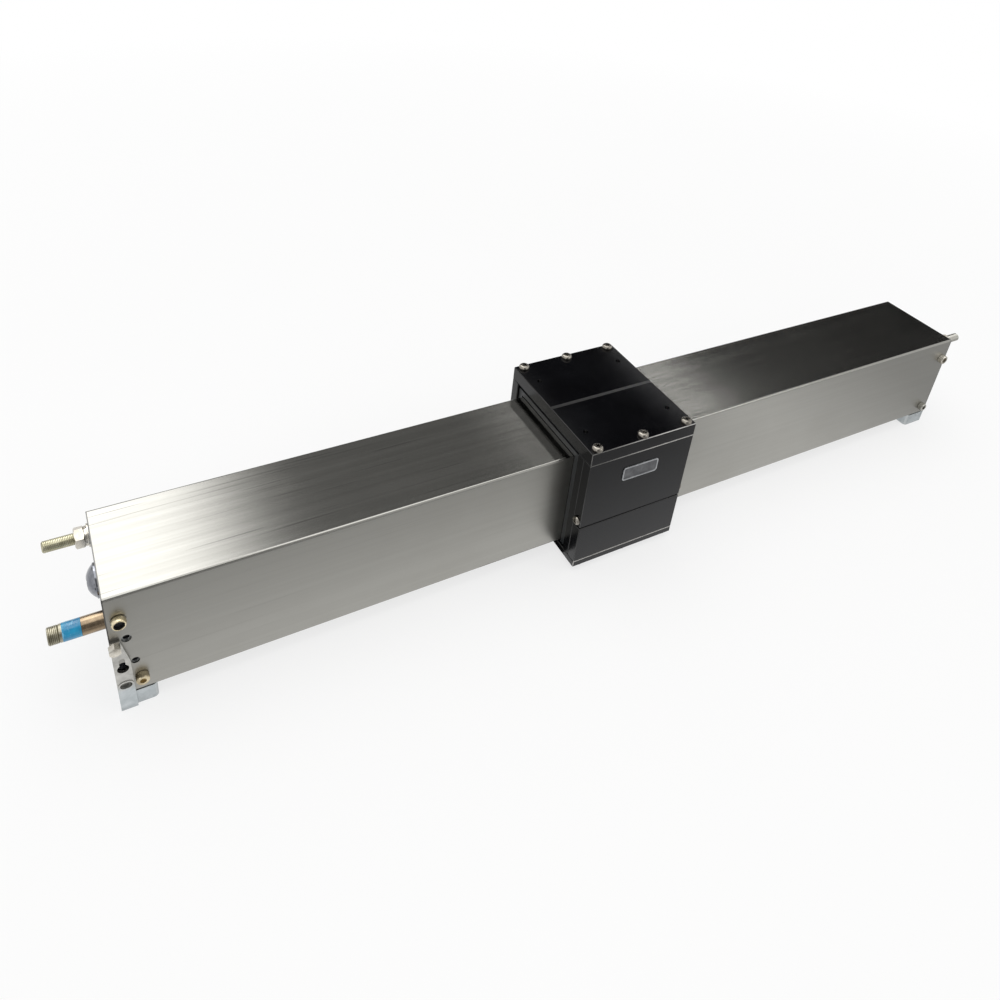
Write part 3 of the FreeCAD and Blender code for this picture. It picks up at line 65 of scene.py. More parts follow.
# %% Sockets that do arithmetic
class Field:
    """A socket of a shader graph. Its operators add Math nodes; node() adds any other node."""

    def __init__(self, tree, socket=None):
        self.tree = tree
        self.socket = socket

    def node(self, kind, settings=None, sockets=None, output=0):
        made = self.tree.nodes.new(kind)
        for name, value in (settings or {}).items():
            if name == "stops":
                set_stops(made.color_ramp, value)
            else:
                setattr(made, name, value)
        for key, value in (sockets or {}).items():
            if isinstance(value, Field):
                self.tree.links.new(value.socket, made.inputs[key])
            else:
                made.inputs[key].default_value = value
        return Field(self.tree, made.outputs[output]) if made.outputs else None

    def math(self, operation, first, second):
        return self.node("ShaderNodeMath", {"operation": operation}, {0: first, 1: second})

    def __add__(self, other):
        return self.math("ADD", self, other)

    def __radd__(self, other):
        return self.math("ADD", other, self)

    def __sub__(self, other):
        return self.math("SUBTRACT", self, other)

    def __rsub__(self, other):
        return self.math("SUBTRACT", other, self)

    def __mul__(self, other):
        return self.math("MULTIPLY", self, other)

    def __rmul__(self, other):
        return self.math("MULTIPLY", other, self)

    def __truediv__(self, other):
        return self.math("DIVIDE", self, other)

    def __rtruediv__(self, other):
        return self.math("DIVIDE", other, self)


def grey(level):
    """A grey as a shader takes it."""
    return (level, level, level, 1.0)


def set_stops(ramp, stops):
    """Give a colour ramp its stops: pairs of a position and a grey level."""
    while len(ramp.elements) < len(stops):
        ramp.elements.new(1.0)
    for element, (position, level) in zip(ramp.elements, stops):
        element.position = position
        element.color = grey(level)


print("Half grey as a shader takes it:", grey(0.5))

# %% [markdown]
# The next helpers are the words that every finish starts with: a colour as a screen shows it, an empty
# material, the place on the piece and a noise. Noise could be laid on by an unwrapped picture. Here it
# follows the place on the piece instead, and its size is a number of cells to the metre. With few cells
# along one axis and many along the others it comes out as long lines.

# %% Colours, places and noise
def hex_colour(text):
    """A display colour such as 8f8f88 as the linear values that shaders use."""
    channels = [int(text[index:index + 2], 16) / 255 for index in (0, 2, 4)]
    linear = [value / 12.92 if value <= 0.04045 else ((value + 0.055) / 1.055) ** 2.4
              for value in channels]
    return (*linear, 1.0)


def new_finish(name):
    """An empty material and the graph to fill it with."""
    material = bpy.data.materials.new(name)
    material.use_nodes = True
    material.node_tree.nodes.clear()
    return material, Field(material.node_tree)


def close_finish(graph, sockets):
    """Add the surface shader and the output."""
    surface = graph.node("ShaderNodeBsdfPrincipled", None, sockets)
    graph.node("ShaderNodeOutputMaterial", None, {"Surface": surface})


def place(graph, cells=(1, 1, 1)):
    """Object coordinates in metres, or in cells that are so many to the metre along each axis."""
    coordinates = graph.node("ShaderNodeTexCoord", output="Object")
    return graph.node("ShaderNodeMapping", None, {"Vector": coordinates, "Scale": cells})


def noise(graph, cells, detail=3.0, roughness=0.6):
    """Noise with so many cells to the metre: one number, or one for each axis."""
    each = cells if isinstance(cells, tuple) else (cells, cells, cells)
    sockets = {"Vector": place(graph, each), "Scale": 1.0, "Detail": detail, "Roughness": roughness}
    return graph.node("ShaderNodeTexNoise", {"noise_dimensions": "3D"}, sockets)


print("Mid grey 808080 is", round(hex_colour("808080")[0], 3), "in linear light")

# %% [markdown]
# These words shape what a noise gives: a stretch of a range, a blend of two colours and a bump. Two
# masks look at the shape itself. One finds the faces that look up. The other finds the chamfers and
# broken edges, where handling rubs a surface first: their faces lie along no axis. Painting such masks
# by hand would do too, but these find their places on any piece.

# %% Ranges, blends and masks
CHAMFER_NORMAL = (0.80, 0.97)


def remap(field, low, high, to_low=0.0, to_high=1.0):
    """Stretch a range of a field to another range, and stop at its ends."""
    sockets = {0: field, 1: low, 2: high, 3: to_low, 4: to_high}
    return field.node("ShaderNodeMapRange", {"clamp": True}, sockets)


def mix(factor, first, second):
    """Blend two colours, each a field or a display colour."""
    first, second = [hex_colour(tone) if isinstance(tone, str) else tone for tone in (first, second)]
    sockets = {0: factor, 6: first, 7: second}
    return factor.node("ShaderNodeMix", {"data_type": "RGBA"}, sockets, output=2)


def bump(field, distance, strength=0.3):
    """A relief as deep as a distance, faded by its strength."""
    return field.node("ShaderNodeBump", None, {"Height": field, "Distance": distance, "Strength": strength})


def axes(vector):
    """The three parts of a vector."""
    parts = vector.node("ShaderNodeSeparateXYZ", None, {0: vector}).socket.node.outputs
    return [Field(vector.tree, part) for part in parts]


def upward_mask(graph, low, high):
    """1 on faces that look up, 0 on steep ones."""
    return remap(axes(graph.node("ShaderNodeNewGeometry", output="True Normal"))[2], low, high)


def edge_mask(graph):
    """1 on chamfers and broken edges, 0 on faces that lie along an axis."""
    normal = graph.node("ShaderNodeNewGeometry", output="True Normal")
    size = graph.node("ShaderNodeVectorMath", {"operation": "ABSOLUTE"}, {0: normal})
    along_x, along_y, along_z = axes(size)
    largest = graph.math("MAXIMUM", along_x, graph.math("MAXIMUM", along_y, along_z))
    return remap(largest, *CHAMFER_NORMAL, 1.0, 0.0)


print("A face is a chamfer where no part of its normal passes", CHAMFER_NORMAL[1])

# %% [markdown]
# The cover is stainless sheet, drawn along its length. Drawing leaves hair lines that are very long
# in one direction and finer than half a millimetre in the other, so the main noise is stretched hard
# along X and goes into the bump: it is the tilt of those lines, not their colour, that smears a
# reflection across the sheet. An anisotropic shader would smear it too, but show no single line.
# Broader bands change the tone a little, a few single strokes are darker, and an unstretched noise
# gives the handling marks. The top has been rubbed most and shows the strokes; the sides show fewer
# lines and are duller. At both ends a thin dark line of painted shade marks the sheet's cut edge. A
# noise seldom leaves the middle of its range, so a span says which part of it a mask is stretched from.

# %% Brushed stainless
COVER_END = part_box("cover")[1].x
END_SHADE_SPAN = (COVER_END - 0.9 * MM, COVER_END - 0.6 * MM)
UPWARD_NORMAL = (0.5, 0.9)
HAIR_LINES = (3, 2600, 2600)
HAIR_DEPTH = 0.1 * MM
DRAWN_BANDS = (1.5, 230, 230)
BAND_SPAN = (0.38, 0.60)
SINGLE_STROKES = (9, 620, 620)
STROKE_SPAN = (0.67, 0.74)
HAND_MARKS = 13
HAND_SPAN = (0.48, 0.75)


def brushed_stainless():
    material, graph = new_finish("brushed_stainless")
    upward = upward_mask(graph, *UPWARD_NORMAL)
    # the last millimetre at both ends of the cover, where a thin line of painted shade lies
    end_shade_line = remap(graph.math("ABSOLUTE", axes(place(graph))[0], 0.0), *END_SHADE_SPAN)
    hair = noise(graph, HAIR_LINES, 2.0)
    drawn = noise(graph, DRAWN_BANDS, 4.0)
    bands = remap(drawn, *BAND_SPAN)
    strokes = remap(noise(graph, SINGLE_STROKES, 1.0, 0.5), *STROKE_SPAN)
    handling_and_highlight = remap(noise(graph, HAND_MARKS, 4.0, 0.55), *HAND_SPAN)
    tone = mix(bands * (upward * 0.75 + 0.25), "94938e", "9d9c97")
    tone = mix(strokes * (upward * 0.5 + 0.06), tone, "4b4a47")
    tone = mix(handling_and_highlight * 0.10, tone, "7f7a70")
    # painted shade: a thin dark line along the sheet's cut edge at both ends
    tone = mix(end_shade_line * 0.8, tone, "3c3c3d")
    rough = 0.36 - upward * 0.22 + handling_and_highlight * 0.05
    relief = hair * (upward * 0.65 + 0.30) + drawn * upward * 0.05
    close_finish(graph, {"Base Color": tone, "Metallic": 1.0, "Roughness": rough,
                         "Normal": bump(relief, HAIR_DEPTH, 0.22)})
    return material


print(f"Stainless: hair lines about {1 / MM / HAIR_LINES[1]:.2f} mm apart")

# %% [markdown]
# The carriage plates are black anodised aluminium: a hard, slightly glossy oxide over a bead-blasted
# face. It is a very dark dielectric with a fine grain and a few pale scuffs. The top, on which tools are
# mounted, was ground first, so it is smoother and looks deeper black. Along the top and bottom of the
# front the edges are painted pale: partly wear to bare metal, partly a painted highlight on the joint
# lines, which along the top is brighter on the right half. A weak specular level keeps the plates
# black, where a brighter one would look wet.

# %% Black anodised plates
PLATE_LOW, PLATE_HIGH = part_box("front_plate_upper")
JOINT_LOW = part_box("bottom_plate")[1].z
JOINT_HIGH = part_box("top_plate")[0].z
PLATE_MIDDLE = (PLATE_LOW.x + PLATE_HIGH.x) / 2
FRONT_EDGE = (PLATE_LOW.y + 0.1 * MM, PLATE_LOW.y + 1 * MM)
BRIGHTER_RIGHT_HALF = (PLATE_MIDDLE - 33.5 * MM, PLATE_MIDDLE + 16.5 * MM)
LOW_EDGES = (JOINT_LOW + 0.5 * MM, JOINT_LOW + 1.3 * MM)
HIGH_EDGES = (JOINT_HIGH - 1.5 * MM, JOINT_HIGH - 0.5 * MM)
OXIDE_GRAIN = 1900
OXIDE_DEPTH = 0.04 * MM
OXIDE_CLOUD = 22
BROAD_SPAN = (0.35, 0.70)
WIDE_SPAN = (0.30, 0.70)
SCUFF_LINES = (30, 260, 260)
SCUFF_SPAN = (0.68, 0.76)
SCUFFED_SPAN = (0.45, 0.60)
RUBBED_SPOTS = 210


def black_anodised():
    material, graph = new_finish("black_anodised")
    along, across, up = axes(place(graph))
    # painted highlight mixed with wear: pale edges along the front joints, brighter on the right half of the
    # top
    top_wear_and_highlight = remap(up, *HIGH_EDGES) * remap(along, *BRIGHTER_RIGHT_HALF, 0.2, 0.95)
    bottom_wear_and_highlight = remap(up, *LOW_EDGES, 1.0, 0.0)
    handling_and_highlight = remap(across, *FRONT_EDGE, 1.0, 0.0) * (top_wear_and_highlight + bottom_wear_and_highlight)
    grain = noise(graph, OXIDE_GRAIN, 2.0)
    cloud = noise(graph, OXIDE_CLOUD, 4.0)
    scuffs = remap(noise(graph, SCUFF_LINES, 6.0, 0.7), *SCUFF_SPAN) * remap(cloud, *SCUFFED_SPAN)
    rubbed = remap(noise(graph, RUBBED_SPOTS), *WIDE_SPAN, 0.75, 1.0)
    pale_edge_wear_and_highlight = edge_mask(graph) * rubbed * (handling_and_highlight + 0.05)
    tone = mix(remap(cloud, *BROAD_SPAN), "060608", "0a0b0e")
    tone = mix(scuffs * 0.35, tone, "2e2e32")
    # pale edges: partly wear to bare metal, partly painted highlight
    tone = mix(pale_edge_wear_and_highlight, tone, "d2d0cc")
    ground = upward_mask(graph, *UPWARD_NORMAL)
    rough = 0.19 - ground * 0.14 + remap(cloud, *WIDE_SPAN) * 0.06 + grain * 0.04
    close_finish(graph, {"Base Color": tone, "Metallic": 0.0, "Roughness": rough, "Specular IOR Level": 0.22,
                         "Normal": bump(grain, OXIDE_DEPTH, 0.2)})
    return material


print(f"Anodised black: worn at the joints {JOINT_LOW / MM:.1f} and {JOINT_HIGH / MM:.1f} mm up")

# %% [markdown]
# The other metals differ in colour and in how they were worked. Machined blocks show faint tool
# lines, plated fasteners a soft tint that wanders over the surface. Each could have a graph of its own,
# but one function is enough: it takes the two ends of the tint, the roughness and the tool's marks.

# %% Worked metals
FINE_GRAIN = (3500, 3500, 3500)
ALONG_X = (8, 400, 400)
UPRIGHT = (400, 400, 12)
TOOL_DEPTH = 0.01 * MM
TOOL_SPAN = (0.60, 0.80)
GRAIN_SPAN = (0.40, 0.70)
TONE_SPAN = (0.35, 0.68)
TINT_CELLS = 160


def tint_noise(graph):
    """The slow change of tint over a plated or cast surface."""
    return noise(graph, TINT_CELLS, 4.0)


def worked_metal(name, dark, light, rough, marks=FINE_GRAIN):
    material, graph = new_finish(name)
    tint = tint_noise(graph)
    tool = noise(graph, marks)
    tone = mix(remap(tint, *TONE_SPAN), dark, light)
    tone = mix(remap(tool, *TOOL_SPAN) * 0.3, tone, dark)
    spread = rough + remap(tint, *BROAD_SPAN) * 0.08 + remap(tool, *GRAIN_SPAN) * 0.05
    close_finish(graph, {"Base Color": tone, "Metallic": 1.0, "Roughness": spread,
                         "Normal": bump(tool, TOOL_DEPTH)})
    return material


print(f"Worked metals: marks {TOOL_DEPTH / MM:.2f} mm deep")

# %% [markdown]
# Yellow zinc is a thin plating with a coloured seal over it, and no two baths give the same tint. The
# studs, which sit high, came out greenish, the cover screws below them warm like brass, and on the
# right end the colour has faded to grey. All of them share one slot of the record, so instead of three
# materials there is one, and the place on the part chooses between the tints.

# %% Yellow zinc
ZINC_CHANGE = 45 * MM
ZINC_BLEND = 5 * MM
ZINC_FADE = (0, 300 * MM)


def yellow_zinc():
    material, graph = new_finish("yellow_zinc")
    along, _, up = axes(place(graph))
    shade = remap(tint_noise(graph), *TONE_SPAN)
    green = mix(shade, "989479", "bcb8a0")
    warm = mix(shade, "8c8069", "c9bc9f")
    tone = mix(remap(up, ZINC_CHANGE, ZINC_CHANGE + ZINC_BLEND), warm, green)
    tone = mix(remap(along, *ZINC_FADE), tone, "b4b2ab")
    close_finish(graph, {"Base Color": tone, "Metallic": 1.0, "Roughness": 0.16 + shade * 0.08,
                         "Normal": bump(noise(graph, FINE_GRAIN), TOOL_DEPTH)})
    return material


print("Yellow zinc: greenish above", round(ZINC_CHANGE / MM), "mm, warm below")

# %% [markdown]
# The feet are aluminium castings. The low block keeps its pale, slightly blue cast skin, while the
# ear that stands up beside the cover was ground and took on the warmer grey of the sheet. Foot and ear
# are one casting, so the height on the piece tells the two apart. Rubbed edges are paler on both, and
# the ear's upward faces are painted darker.

# %% Cast feet
EAR_START = (18 * MM, 25.2 * MM)
EAR_TOP_NORMAL = (0.2, 0.6)
CAST_SKIN = 1100
CAST_DEPTH = 0.08 * MM


def cast_foot():
    material, graph = new_finish("foot_aluminium")
    skin = noise(graph, CAST_SKIN)
    shade = remap(tint_noise(graph), *TONE_SPAN)
    on_ear = remap(axes(place(graph))[2], *EAR_START)
    ear_top_darker = upward_mask(graph, *EAR_TOP_NORMAL)
    block = mix(shade, "a7adaf", "bcc1c3")
    ear = mix(shade, "a6a5a1", "c6c5c0")
    tone = mix(on_ear, block, ear)
    tone = mix(edge_mask(graph) * 0.25, tone, "dcdcda")
    # the ear's upward faces are painted darker
    tone = mix(on_ear * ear_top_darker * 0.8, tone, "6d6b66")
    rough = 0.38 + shade * 0.08 + remap(skin, *GRAIN_SPAN) * 0.08
    close_finish(graph, {"Base Color": tone, "Metallic": 1.0, "Roughness": rough,
                         "Normal": bump(skin, CAST_DEPTH)})
    return material


print("Cast feet: the ear starts", round(EAR_START[0] / MM), "mm up")

# %% [markdown]
# Rubber, plastic and the label film are not metals. Moulded rubber and plastic keep a plain colour
# with a fine grain. The film on the sensor is glossy blue and a little creased, with a painted
# highlight where a crease would catch the light. Creases could be modelled, but they are shallower
# than the film is thick, so a stretched noise in the bump draws them.

# %% Rubber, plastic and film
MOULD_CLOUD = 90
FILM_CLOUD = 110
FILM_CREASES = (420, 190, 190)
CREASE_SPAN = (0.56, 0.68)
CREASE_DEPTH = 0.06 * MM


def moulded(name, dark, light, rough, grain_cells, depth):
    material, graph = new_finish(name)
    grain = noise(graph, grain_cells)
    tone = mix(remap(noise(graph, MOULD_CLOUD, 3.0, 0.5), *TONE_SPAN), dark, light)
    spread = rough + remap(grain, *BROAD_SPAN) * 0.12
    close_finish(graph, {"Base Color": tone, "Metallic": 0.0, "Roughness": spread,
                         "Normal": bump(grain, depth)})
    return material


def label_film():
    material, graph = new_finish("label_blue")
    crease = noise(graph, FILM_CREASES)
    crease_and_glare = remap(crease, *CREASE_SPAN)
    tone = mix(remap(noise(graph, FILM_CLOUD, 3.0, 0.5), *TONE_SPAN), "0e7aa8", "249ec8")
    # painted highlight: paler film where a crease would catch the light
    tone = mix(crease_and_glare * 0.5, tone, "8ccde8")
    close_finish(graph, {"Base Color": tone, "Metallic": 0.0, "Roughness": 0.22 + crease_and_glare * 0.12,
                         "Coat Weight": 0.3, "Normal": bump(crease, CREASE_DEPTH)})
    return material


print(f"Film: creases about {1 / MM / FILM_CREASES[0]:.1f} mm apart")

# %% [markdown]
# Each CAD node names a material slot in the record. A table from slot to finish dresses every node,
# and the new pieces modelled below take their finish from the same table, so a colour is written once.

# %% Dress the CAD nodes
FINISHES = {
    "stainless_cover": brushed_stainless(),
    "black_anodised": black_anodised(),
    "foot_aluminium": cast_foot(),
    "label_blue": label_film(),
    "end_aluminium": worked_metal("end_aluminium", "8d9094", "b4b7ba", 0.34, UPRIGHT),
    "slide_aluminium": worked_metal("slide_aluminium", "9a9c9e", "bdbfc1", 0.32, ALONG_X),
    "tube_steel": worked_metal("tube_steel", "8f8f8e", "b3b3b1", 0.20, ALONG_X),
    "shaft_chrome": worked_metal("shaft_chrome", "b4b7ba", "c9ccce", 0.10, ALONG_X),
    "black_oxide": worked_metal("black_oxide", "1c1c1e", "2e2e31", 0.38),
    "cap_metal": worked_metal("cap_metal", "77797f", "9a9ca1", 0.12),
    "yellow_zinc": yellow_zinc(),
    "white_zinc": worked_metal("white_zinc", "b8b2a6", "dcd8ce", 0.20),
    "nickel_brass": worked_metal("nickel_brass", "7b6b58", "9c8a72", 0.18, ALONG_X),
    "connector_metal": worked_metal("connector_metal", "8b8776", "aba694", 0.30),
    "fitting_brass": worked_metal("fitting_brass", "cfc09a", "f0e4c6", 0.22),
    "bright_nickel": worked_metal("bright_nickel", "7a766f", "9c978e", 0.12),
    "bush_bronze": worked_metal("bush_bronze", "80602f", "a98a4f", 0.36),
    "magnet_nickel": worked_metal("magnet_nickel", "8d8d8f", "aeaeb0", 0.22),
    "yoke_steel": worked_metal("yoke_steel", "57585a", "77787a", 0.34),
    "rubber": moulded("rubber", "0d0d0e", "181819", 0.55, 1400, 0.06 * MM),
    "wiper_grey": moulded("wiper_grey", "1f2123", "2c2e30", 0.45, 1700, 0.05 * MM),
}
for node, slot in SLOT_OF.items():
    mesh = frame["nodes"][node].data
    mesh.materials.clear()
    mesh.materials.append(FINISHES[slot])
print("Finishes:", len(FINISHES), "on", len(SLOT_OF), "nodes")

# %% [markdown]
# The small pieces are modelled as by hand, and these are the usual moves: add a primitive, put it
# somewhere, pick elements in edit mode, apply a modifier, close the mesh up. An operator works on all
# that is selected, so each move first selects only its own piece. The place always ends up in the mesh,
# and the object itself stays at the origin, where the CAD nodes are too.

# %% Starting and editing a mesh
WELD = 1e-7


def start(name, add, **size):
    """Add one primitive, name it and put its place in its mesh."""
    bpy.ops.object.select_all(action="DESELECT")
    add(**size)
    bpy.ops.object.transform_apply(location=True, rotation=True, scale=True)
    piece = bpy.context.object
    piece.name = name
    piece.data.name = name
    return piece


def activate(piece):
    """Select one piece and nothing else."""
    bpy.ops.object.select_all(action="DESELECT")
    piece.select_set(True)
    bpy.context.view_layer.objects.active = piece


def moved(piece, matrix):
    """Put a piece somewhere else, with the move in its mesh."""
    activate(piece)
    piece.matrix_world = matrix
    bpy.ops.object.transform_apply(location=True, rotation=True, scale=True)
    return piece


@contextmanager
def editing(piece, element="FACE"):
    """Edit mode with nothing selected."""
    activate(piece)
    bpy.ops.object.mode_set(mode="EDIT")
    bpy.ops.mesh.select_mode(type=element)
    bpy.ops.mesh.select_all(action="DESELECT")
    yield bmesh.from_edit_mesh(piece.data)
    bpy.ops.object.mode_set(mode="OBJECT")


def apply_modifier(piece, kind, **settings):
    """Add a modifier with its settings and apply it."""
    activate(piece)
    modifier = piece.modifiers.new(kind.lower(), kind)
    for name, value in settings.items():
        setattr(modifier, name, value)
    bpy.ops.object.modifier_apply(modifier=modifier.name)


def close_up(piece):
    """Merge doubles and turn the faces outwards."""
    with editing(piece):
        bpy.ops.mesh.select_all(action="SELECT")
        bpy.ops.mesh.remove_doubles(threshold=WELD)
        bpy.ops.mesh.normals_make_consistent(inside=False)


print(f"Points closer than {WELD / MM:.4f} mm are merged")

# %% [markdown]
# Most of the small pieces came off a lathe. Spinning a profile would give their shape, but needs its
# poles and its seam merged afterwards, so lathe work here starts with a disc and extrudes it station by
# station, scaling as it goes. The other helpers cut one shape with another and copy a model to its
# places, each copy with its own mesh.

# %% Lathe work, cuts and copies
TURNED_SIDES = 48
ROUND_SIDES = 64
FINE_SIDES = 72
FINEST_SIDES = 96


def turned(name, stations, sides=TURNED_SIDES):
    """Lathe work along Z: pairs of height and radius, from one end to the other."""
    height, radius = stations[0]
    piece = start(name, bpy.ops.mesh.primitive_circle_add, vertices=sides, radius=radius,
                  fill_type="NGON", location=(0, 0, height))
    with editing(piece):
        bpy.ops.mesh.select_all(action="SELECT")
        for next_height, next_radius in stations[1:]:
            rise = (0, 0, next_height - height)
            bpy.ops.mesh.extrude_region_move(TRANSFORM_OT_translate={"value": rise})
            factor = next_radius / radius
            bpy.ops.transform.resize(value=(factor, factor, 1), center_override=(0, 0, next_height))
            height, radius = next_height, next_radius
    close_up(piece)
    return piece


def boolean(piece, tool, operation):
    """Cut, join or trim a piece with a tool, and remove the tool."""
    apply_modifier(piece, "BOOLEAN", object=tool, operation=operation, solver="EXACT")
    bpy.data.objects.remove(tool)
    close_up(piece)
    return piece


def combine(name, parts):
    """Join several objects into one."""
    bpy.ops.object.select_all(action="DESELECT")
    for part in parts:
        part.select_set(True)
    bpy.context.view_layer.objects.active = parts[0]
    if len(parts) > 1:
        bpy.ops.object.join()
    parts[0].name = name
    parts[0].data.name = name
    return parts[0]


def copied(name, model, matrices):
    """Copies of a model at their places, joined to one piece. The model itself goes."""
    parts = []
    for matrix in matrices:
        activate(model)
        bpy.ops.object.duplicate(linked=False)
        parts.append(moved(bpy.context.object, matrix))
    bpy.data.objects.remove(model)
    return combine(name, parts)


print("Lathe work has", TURNED_SIDES, "to", FINEST_SIDES, "sides")

# %% [markdown]
# A finished piece rides on a body, takes a finish and takes the place of a CAD node, which is hidden.
# The record knows the body and the slot of each node, so the node's name is enough.
# The nodes that have a piece are noted, because those that are left get theirs near the end.

# %% Finished pieces
SMOOTH_ANGLE = 35
SHARP_ANGLE = 30
stood_for = set()


def dress(piece, body, slot, smooth=SMOOTH_ANGLE):
    """Shade a piece, give it its finish and let it ride on a body."""
    activate(piece)
    bpy.ops.object.shade_smooth_by_angle(angle=math.radians(smooth))
    piece.data.materials.clear()
    piece.data.materials.append(FINISHES[slot])
    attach(piece, body)


def stand_for(piece, node, smooth=SMOOTH_ANGLE):
    """Put a dressed piece in the place of its CAD node."""
    dress(piece, BODY_OF[node], SLOT_OF[node], smooth)
    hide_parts(node)
    stood_for.add(node)
    print(f"{piece.name}: {len(piece.data.polygons)} faces in place of {node}")


print("Edges steeper than", SMOOTH_ANGLE, "degrees stay sharp")

# %% [markdown]
# Every place is read from the frame. A model is drawn with its axis along Z and its head up, so a
# few turns say which way a head looks. The right end of the cylinder is the left one turned half
# round, which gives every end piece its second place.

# %% Places
HALF_TURN = Matrix.Rotation(math.pi, 4, "Z")
HEAD_TO_LEFT = Matrix.Rotation(-math.pi / 2, 4, "Y")
HEAD_TO_RIGHT = Matrix.Rotation(math.pi / 2, 4, "Y")
HEAD_TO_FRONT = Matrix.Rotation(math.pi / 2, 4, "X")
HEAD_TO_REAR = Matrix.Rotation(-math.pi / 2, 4, "X")


def at(spot, turn=Matrix.Identity(4)):
    """Place of a model: turned, then moved."""
    return Matrix.Translation(spot) @ turn


def at_both_ends(spot, turn):
    """The left end's place and the right end's."""
    left = at(spot, turn)
    return [left, HALF_TURN @ left]


def anywhere(spot):
    """A test that every point passes."""
    return True


def front_left(spot):
    """Points of the left end, in front."""
    return spot.x < 0 and spot.y < 0


def rear_left(spot):
    """Points of the left end, at the back."""
    return spot.x < 0 and spot.y > 0


def box_of(node, keep=anywhere):
    """Lowest and highest corner of those points of a CAD node that pass a test."""
    spots = [vertex.co for vertex in frame["nodes"][node].data.vertices if keep(vertex.co)]
    low = Vector([min(spot[axis] for spot in spots) for axis in range(3)])
    high = Vector([max(spot[axis] for spot in spots) for axis in range(3)])
    return low, high


def middle(node, keep=anywhere):
    """Middle of the box round those points."""
    low, high = box_of(node, keep)
    return (low + high) / 2


def radius_of(low, high):
    """Radius of something round that lies across Z, from its corners."""
    return (high.z - low.z) / 2


cover_low, cover_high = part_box("cover")
print("Cover from", tuple(cover_low), "to", tuple(cover_high))

# %% [markdown]
# Pan head screws hold the top plate and the ends of the front plate. The head is lathe work with a
# rounded crown. Its cross recess could be a dark bump on the crown, but it has to catch the light from
# every side, so it is cut with two crossed bars that taper downwards. The sizes of the head are shares
# of its height and radius, because the two kinds of screw look alike.

# %% Pan head screw
PAN_FOOT = 0.97
PAN_FOOT_EDGE = 0.06
PAN_RIM = 0.32
PAN_FLAT = 0.42
PAN_STEP = 15
RECESS_REACH = 0.72
RECESS_WIDTH = 0.30
RECESS_DEPTH = 0.62
RECESS_TOP = 1.02
RECESS_TAPER = 0.5
DOWNWARD = -0.9
SHANK_CHAMFER = 0.2


def shank_stations(radius, length):
    """Lathe stations of a shank with a chamfered end, up to where it is full."""
    chamfer = SHANK_CHAMFER * radius
    return [(-length, radius - chamfer), (-length + chamfer, radius)]


def cross_cutter(reach, width, depth, top):
    """Two crossed bars that taper downwards."""
    bars = []
    for spin in (0.0, math.pi / 2):
        bar = start("recess_bar", bpy.ops.mesh.primitive_cube_add, size=1.0)
        moved(bar, Matrix.Rotation(spin, 4, "Z") @ Matrix.Diagonal((2 * reach, width, 2 * depth, 1)))
        with editing(bar) as mesh:
            for face in mesh.faces:
                face.select_set(face.normal.z < DOWNWARD)
            bpy.ops.transform.resize(value=(RECESS_TAPER, RECESS_TAPER, 1), center_override=(0, 0, -depth))
        bars.append(moved(bar, Matrix.Translation((0, 0, top))))
    return boolean(bars[0], bars[1], "UNION")


def pan_screw(radius, height, shank, length):
    """Screw with its head's underside at 0 and its crown up."""
    rim = PAN_RIM * height
    angles = [math.radians(angle) for angle in range(0, 91, PAN_STEP)]
    crown = [(rim + (height - rim) * math.sin(angle), radius * (PAN_FLAT + (1 - PAN_FLAT) * math.cos(angle)))
             for angle in angles]
    foot = [(0, shank), (0, PAN_FOOT * radius), (PAN_FOOT_EDGE * height, radius)]
    screw = turned("pan_screw", [*shank_stations(shank, length), *foot, *crown])
    cutter = cross_cutter(RECESS_REACH * radius, RECESS_WIDTH * radius, RECESS_DEPTH * height,
                          RECESS_TOP * height)
    return boolean(screw, cutter, "DIFFERENCE")


print("A pan head's crown has", 90 // PAN_STEP, "steps")

# %% [markdown]
# Six such screws stand in two rows on the top plate, over the front and the rear plate, and two smaller
# ones hold the ends. Every screw stops at its own angle when it is tight. Copies that all stand alike
# give a model away, so each is spun a little further than the one before.

# %% Top screws and end screws
SCREW_SPIN = math.radians(37)
SHANK_M5 = 2.5 * MM
SHANK_M4 = 2 * MM
SHANK_LENGTH = 6 * MM


def spun(places):
    """Turn each screw of a row to an angle of its own."""
    return [matrix @ Matrix.Rotation(index * SCREW_SPIN, 4, "Z") for index, matrix in enumerate(places)]


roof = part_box("top_plate")[1].z
low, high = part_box("top_screws")
lines = (middle("front_plate_upper").y, middle("rear_plate").y)
radius = lines[0] - low.y
columns = (low.x + radius, (low.x + high.x) / 2, high.x - radius)
spots = [Vector((x, y, roof)) for y in lines for x in columns]
screw = pan_screw(radius, high.z - roof, SHANK_M5, SHANK_LENGTH)
stand_for(copied("top_screw_heads", screw, spun([at(spot) for spot in spots])), "top_screws")

low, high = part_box("end_screws")
centre = (low + high) / 2
places = [at(Vector((PLATE_LOW.x, centre.y, centre.z)), HEAD_TO_LEFT),
          at(Vector((PLATE_HIGH.x, centre.y, centre.z)), HEAD_TO_RIGHT)]
screw = pan_screw(radius_of(low, high), PLATE_LOW.x - low.x, SHANK_M4, SHANK_LENGTH)
stand_for(copied("end_screw_heads", screw, spun(places)), "end_screws")

# %% [markdown]
# The cover is held by socket head screws. Their round heads are knurled so that fingers can start
# them: on a rim with many sides, every second point is pulled in a little, which needs no more faces
# than the rim has. The hexagon socket is cut with a six-sided bar. The two screws of each end sit at
# different heights, so each place is read from its own quarter of the node. The size, which they share,
# is read from the front one.

# %% Cover screws
KNURL_SIDES = 64
KNURL_DEPTH = 0.965
SOCKET_HEAD_EDGE = 0.09
COVER_KEY = 4 * MM
COVER_KEY_DEPTH = 2.6 * MM


